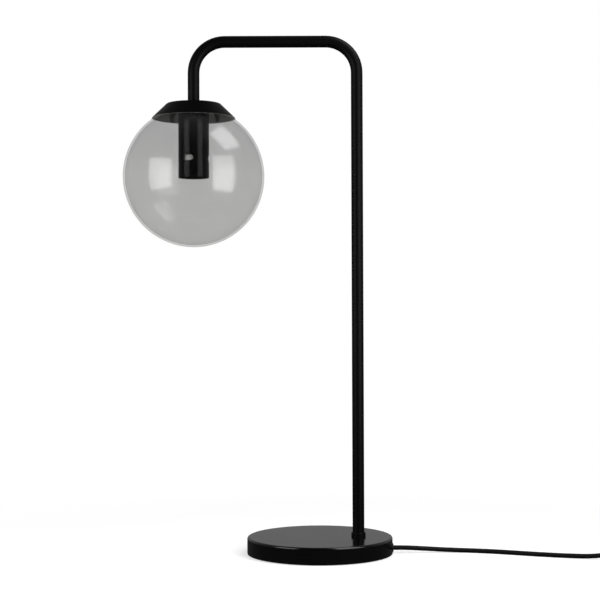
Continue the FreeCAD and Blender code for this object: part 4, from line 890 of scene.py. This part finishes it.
@dataclass
class Supply:
    """The two stretches of supply cord, either side of the switch, the second with its coil."""

    diameter: float = 5.0
    lead_length: float = 249.0
    supply_length: float = 1518.0
    coil_middle: Pair = (384.0, 20.0)
    coil_radius: float = 32.1
    coil_pitch: float = 5.5
    coil_floor: float = 3.5
    layers: int = 4
    turns: int = 2
    # The part of a turn in which the cord climbs from one layer to the next.
    climb: float = 0.5
    per_turn: int = 16
    # The radius at which the spline runs, as a share of its control points' radius.
    inside: float = 0.981
    bevel_steps: int = 5
    spline_steps: int = 8
    lead: tuple[Point, ...] = (
        (78.83, 0.0, 5.8),
        (91.5, 0.0, 5.8),
        (110.0, 0.5, 4.8),
        (136.0, 1.5, 3.1),
        (160.0, 0.0, 2.5),
        (190.0, -8.5, 2.5),
        (224.0, -23.5, 2.5),
        (258.0, -36.0, 2.6),
        (284.0, -45.5, 3.4),
        (300.0, -49.2, 6.3),
        (311.0, -50.0, 7.5),
        (320.0, -50.0, 7.5),
    )
    tail: tuple[Point, ...] = (
        (376.0, -50.0, 7.5),
        (388.0, -50.0, 7.5),
        (400.3, -46.9, 5.6),
        (410.3, -38.4, 3.5),
        (415.8, -25.6, 2.5),
        (417.3, -11.2, 2.6),
        (416.1, 3.5, 3.5),
    )
    end: tuple[Point, ...] = (
        (416.1, 36.0, 20.0),
        (415.9, 49.5, 17.0),
        (412.4, 62.8, 12.6),
        (404.6, 73.4, 8.8),
        (393.4, 78.4, 6.85),
        (381.0, 78.4, 6.85),
    )

    def _coil_point(self, turns: float) -> Point:
        """Where the coil's middle line is, wound in and out by layers.

        Args:
            turns: How many turns from its start, which is low and outside.

        Returns:
            The point in millimetres.
        """
        layer, along = divmod(turns / self.turns, 1.0)
        inward = along if layer % 2 == 0 else 1.0 - along
        if turns >= self.layers * self.turns:
            inward = 0.0
        radius = (self.coil_radius - inward * self.turns * self.coil_pitch) / self.inside
        climbed = 0.0
        for number in range(1, self.layers):
            share = (turns - number * self.turns) / self.climb + 0.5
            climbed += (1.0 - math.cos(math.pi * min(max(share, 0.0), 1.0))) / 2
        angle = 2 * math.pi * turns
        return (
            self.coil_middle[0] + radius * math.cos(angle),
            self.coil_middle[1] + radius * math.sin(angle),
            self.coil_floor + climbed * self.coil_pitch,
        )

    def _coil(self) -> list[Point]:
        """The coil's control points, with a straight start and end along Y.

        Returns:
            The points in millimetres.
        """
        count = self.layers * self.turns * self.per_turn
        start, end = self._coil_point(0.0), self._coil_point(self.layers * self.turns)
        edge = self.coil_middle[0] + self.coil_radius
        middle = [self._coil_point((number + 0.5) / self.per_turn) for number in range(count)]
        first = (edge, start[1], start[2])
        last = (edge, end[1], end[2])
        return [first, *middle, last]

    def _curve(self, name: str, points: Iterable[Point]) -> bpy.types.Object:
        """One smooth round cord.

        Args:
            name: The piece's name.
            points: Its route in millimetres, which its NURBS spline takes as control points.

        Returns:
            The curve.
        """
        route = [(x * MM, y * MM, z * MM, 1.0) for x, y, z in points]
        data = bpy.data.curves.new(name, "CURVE")
        data.dimensions = "3D"
        data.bevel_depth = self.diameter / 2 * MM
        data.bevel_resolution = self.bevel_steps
        data.use_fill_caps = True
        spline = data.splines.new("NURBS")
        spline.points.add(len(route) - 1)
        for point, place in zip(spline.points, route):
            point.co = place
        spline.order_u = 3
        spline.use_endpoint_u = True
        spline.resolution_u = self.spline_steps
        cord = bpy.data.objects.new(name, data)
        bpy.context.scene.collection.objects.link(cord)
        CORD_JACKET.dress(cord)
        return cord

    def build(self, nodes: Mapping[str, bpy.types.Object]) -> None:
        """Args:
            nodes: The CAD nodes by name; not used.
        """
        lead = fitted(self._curve("lead_cord", self.lead), "lamp", CORD_JACKET, "cord_lead")
        points = [*self.tail, *self._coil(), *self.end]
        supply = fitted(
            self._curve("supply_cord", points), "lamp", CORD_JACKET, "cord_tail", "cord_coil", "cord_end"
        )


@dataclass
class ThreadShell:
    """The lampholder's rolled brass thread, which stands for the plain shell."""

    pitch: float = 2.82
    radius: float = 6.75
    wave: float = 0.42
    wall: float = 0.3
    low: float = 414.3
    high: float = 436.3
    # The radius of the hole in the shell's turned-in floor.
    floor_hole: float = 5.4
    around: int = 64
    rows_per_turn: int = 12

    def _ring(
        self, build: bmesh.types.BMesh, height: float, radius: float, waved: bool
    ) -> list[bmesh.types.BMVert]:
        """A ring of vertices.

        Args:
            build: The mesh that they are added to.
            height: The ring's height, in millimetres.
            radius: Its radius.
            waved: Whether the radius follows the thread.

        Returns:
            The vertices in order.
        """
        ring = []
        for number in range(self.around):
            angle = 2 * math.pi * number / self.around
            swell = 0.0
            if waved:
                turn = (height - self.low) / self.pitch - angle / (2 * math.pi)
                ends = min(height - self.low, self.high - height) / self.pitch
                swell = self.wave * math.cos(2 * math.pi * turn) * min(max(ends, 0.0), 1.0)
            reach = radius + swell
            place = Vector((reach * math.cos(angle), reach * math.sin(angle), height)) * MM
            ring.append(build.verts.new(place + Vector((HEAD_X, 0.0, 0.0))))
        return ring

    def build(self) -> None:
        """Makes the shell: waved inside and out, with a turned-in floor at its top."""
        build = bmesh.new()
        rows = round((self.high - self.low) / self.pitch * self.rows_per_turn)
        heights = [self.low + (self.high - self.low) * row / rows for row in range(rows + 1)]
        rings = [self._ring(build, height, self.radius + self.wall, True) for height in heights]
        rings.append(self._ring(build, self.high, self.floor_hole, False))
        rings.append(self._ring(build, self.high - self.wall, self.floor_hole, False))
        inner = [height for height in reversed(heights) if height < self.high - self.wall]
        rings += [self._ring(build, height, self.radius, True) for height in inner]
        rings.append(rings[0])
        for below, above in zip(rings, rings[1:]):
            for number in range(self.around):
                after = (number + 1) % self.around
                build.faces.new((below[number], below[after], above[after], above[number]))
        piece = mesh_piece("thread_shell", build, BRASS)
        fitted(piece, "lamp", BRASS, "screw_shell")


@dataclass
class RockerMarks:
    """The stroke and the ring that mark the switch's two ways, printed on its rocker."""

    # The rocker's pin, and how it leans at rest, in degrees.
    pivot: Point = (348.0, -50.0, 14.7)
    lean: float = 7.0
    corner_reach: float = 7.79
    corner_rise: float = 4.7
    middle_rise: float = 3.6
    # How far each mark's middle is from the rocker's.
    place: float = 5.2
    stroke: float = 0.55
    length: float = 3.2
    ring_radius: float = 1.5
    # The paint's height above the plastic, and its thickness.
    skin: float = 0.04
    film: float = 0.03
    around: int = 48

    def _lift(self, reach: float) -> float:
        """The rocker's top at a distance from its middle, a hair above the plastic."""
        share = abs(reach) / self.corner_reach
        return self.middle_rise + (self.corner_rise - self.middle_rise) * share + self.skin

    def _mark(
        self, build: bmesh.types.BMesh, outline: Sequence[Pair], hole: Sequence[Pair] = ()
    ) -> None:
        """Adds a flat mark on the rocker's top.

        Args:
            build: The mesh that it is added to.
            outline: Its outer points, across and up, in the rocker's own frame.
            hole: Its inner points, as many as the outer ones, or none for a filled mark.
        """
        tops = [build.verts.new((x, y, self._lift(x))) for x, y in outline]
        if not hole:
            build.faces.new(tops)
            return
        inner = [build.verts.new((x, y, self._lift(x))) for x, y in hole]
        for number in range(len(tops)):
            after = (number + 1) % len(tops)
            build.faces.new((tops[number], tops[after], inner[after], inner[number]))

    def build(self) -> None:
        """Makes both marks as one piece that rides on the rocker."""
        build = bmesh.new()
        half, wide = self.length / 2, self.stroke / 2
        stroke = [(-wide, -half), (wide, -half), (wide, half), (-wide, half)]
        self._mark(build, [(x - self.place, y) for x, y in stroke])
        angles = [2 * math.pi * number / self.around for number in range(self.around)]
        rings = [
            [(self.place + radius * math.cos(angle), radius * math.sin(angle)) for angle in angles]
            for radius in (self.ring_radius, self.ring_radius - self.stroke)
        ]
        self._mark(build, *rings)
        turn = Matrix.Rotation(math.radians(self.lean), 4, "Y")
        build.transform(Matrix.Scale(MM, 4) @ Matrix.Translation(self.pivot) @ turn)
        piece = mesh_piece("rocker_marks", build, PRINT, smooth=False)
        thick = piece.modifiers.new("print_film", "SOLIDIFY")
        thick.thickness = self.film * MM
        fitted(piece, "rocker", PRINT)


@dataclass(frozen=True)
class Softbox:
    """One rectangular soft light: its middle and size in metres, and its level, where 1 is white."""

    name: str
    place: Point
    wide: float
    tall: float
    level: float
    # Watts per square metre at level 1.
    watts: float = 4.0

    def build(self, aim: Point) -> None:
        """Makes the light.

        Args:
            aim: The point that it faces.
        """
        data = bpy.data.lights.new(self.name, "AREA")
        data.shape = "RECTANGLE"
        data.size, data.size_y = self.wide, self.tall
        data.energy = self.watts * self.wide * self.tall * self.level
        lamp = bpy.data.objects.new(self.name, data)
        away = Vector(self.place) - Vector(aim)
        lamp.location = self.place
        lamp.rotation_euler = away.to_track_quat("Z", "Y").to_euler()
        lamp.visible_camera = False
        bpy.context.scene.collection.objects.link(lamp)


@dataclass
class Studio:
    """The pale floor, the white surround and the soft lights of the photograph, in metres."""

    floor_radius: float = 6.0
    floor_sides: int = 96
    floor_colour: Colour = (0.8, 0.8, 0.8, 1.0)
    floor_glow: float = 0.515
    floor_gleam: float = 0.05
    # Between these distances from the lamp the lit floor turns into plain white.
    shadow_start: float = 0.12
    shadow_end: float = 0.55
    # The surround's level: as light on the lamp, and in reflections before and behind it.
    fill: float = 0.25
    front_gleam: float = 0.01
    back_gleam: float = 0.3
    aim: Point = (HEAD_X, 0.0, 0.4)
    lights: tuple[Softbox, ...] = (
        Softbox("left_softbox", (-0.673, -0.447, 0.420), 0.50, 0.53, 2.8),
        Softbox("right_softbox", (0.4265, -0.417, 0.425), 0.48, 0.64, 2.6),
        Softbox("top_softbox", (0.356, -0.088, 0.993), 0.43, 0.41, 3.3),
    )

    def _world(self) -> None:
        """White where the camera looks, a dim gradient in reflections, and a weak fill."""
        world = bpy.data.worlds.new("surround")
        world.use_nodes = True
        bpy.context.scene.world = world
        graph = Graph(world.node_tree)
        seen = graph.ray(Ray.CAMERA) + graph.ray(Ray.TRANSMISSION)
        glossy = graph.ray(Ray.GLOSSY)
        where = graph.add(Kind.PLACE, output="Generated")
        back = graph.add(Kind.SPLIT, values={0: where}, output="Y").steps(-1.0, 1.0)
        gleam = self.front_gleam + (self.back_gleam - self.front_gleam) * back
        level = self.fill * (1.0 - glossy) + gleam * glossy
        level = level * (1.0 - seen) + seen
        shade = graph.add(Kind.BACKGROUND, values={"Color": WHITE, "Strength": level})
        graph.add(Kind.WORLD_OUTPUT, values={"Surface": shade})

    def _floor(self) -> None:
        """A round floor: lit, with the lamp's shadow, near it, and plain white further away."""
        build = bmesh.new()
        bmesh.ops.create_circle(
            build, cap_ends=True, segments=self.floor_sides, radius=self.floor_radius
        )
        mesh = bpy.data.meshes.new("floor")
        build.to_mesh(mesh)
        build.free()
        floor = bpy.data.objects.new("floor", mesh)
        bpy.context.scene.collection.objects.link(floor)
        material = bpy.data.materials.new("floor_paint")
        material.use_nodes = True
        graph = Graph(material.node_tree)
        where = graph.add(Kind.PLACE, output="Object")
        reach = graph.add(Kind.VECTOR_MATH, {"operation": "LENGTH"}, {0: where}, "Value")
        seen = graph.ray(Ray.CAMERA) + graph.ray(Ray.TRANSMISSION)
        lit = graph.add(Kind.DIFFUSE, values={"Color": self.floor_colour})
        near = graph.add(Kind.ADD_SHADER, values={0: lit, 1: graph.glow(self.floor_glow)})
        far = reach.steps(self.shadow_start, self.shadow_end)
        shown = graph.blend(far, near, graph.glow(1.0))
        unseen = graph.blend(graph.ray(Ray.GLOSSY), lit, graph.glow(self.floor_gleam))
        graph.add(Kind.OUTPUT, values={"Surface": graph.blend(seen, unseen, shown)})
        mesh.materials.append(material)

    def build(self) -> None:
        """Makes the floor, the surround and the lights, at a plain light level."""
        self._world()
        self._floor()
        for light in self.lights:
            light.build(self.aim)
        bpy.context.scene.view_settings.view_transform = "Standard"


@dataclass
class Lamp:
    """The lamp itself: dresses the CAD nodes and adds the parts that only show close up."""

    supply: Supply = field(default_factory=Supply)
    thread: ThreadShell = field(default_factory=ThreadShell)
    marks: RockerMarks = field(default_factory=RockerMarks)

    def dress(self, nodes: Mapping[str, bpy.types.Object]) -> None:
        """Puts each CAD node's finish on it.

        Args:
            nodes: The CAD nodes by name.
        """
        for finish, names in NODE_FINISHES.items():
            for name in names:
                finish.dress(nodes[name])
                log.info("dressed %s in %s", name, finish.name)

    def build(self, nodes: Mapping[str, bpy.types.Object]) -> None:
        """Makes the cords first, then dresses the nodes and adds the small parts.

        Args:
            nodes: The CAD nodes by name.
        """
        self.supply.build(nodes)
        self.dress(nodes)
        self.thread.build()
        self.marks.build()


def main() -> None:
    """Builds the camera, the lamp and the studio, in that order."""
    logging.basicConfig(level=logging.INFO, format="%(name)s: %(message)s")
    PhotoCamera().build()
    Lamp().build(frame["nodes"])
    Studio().build()


if __name__ == "__main__":
    main()
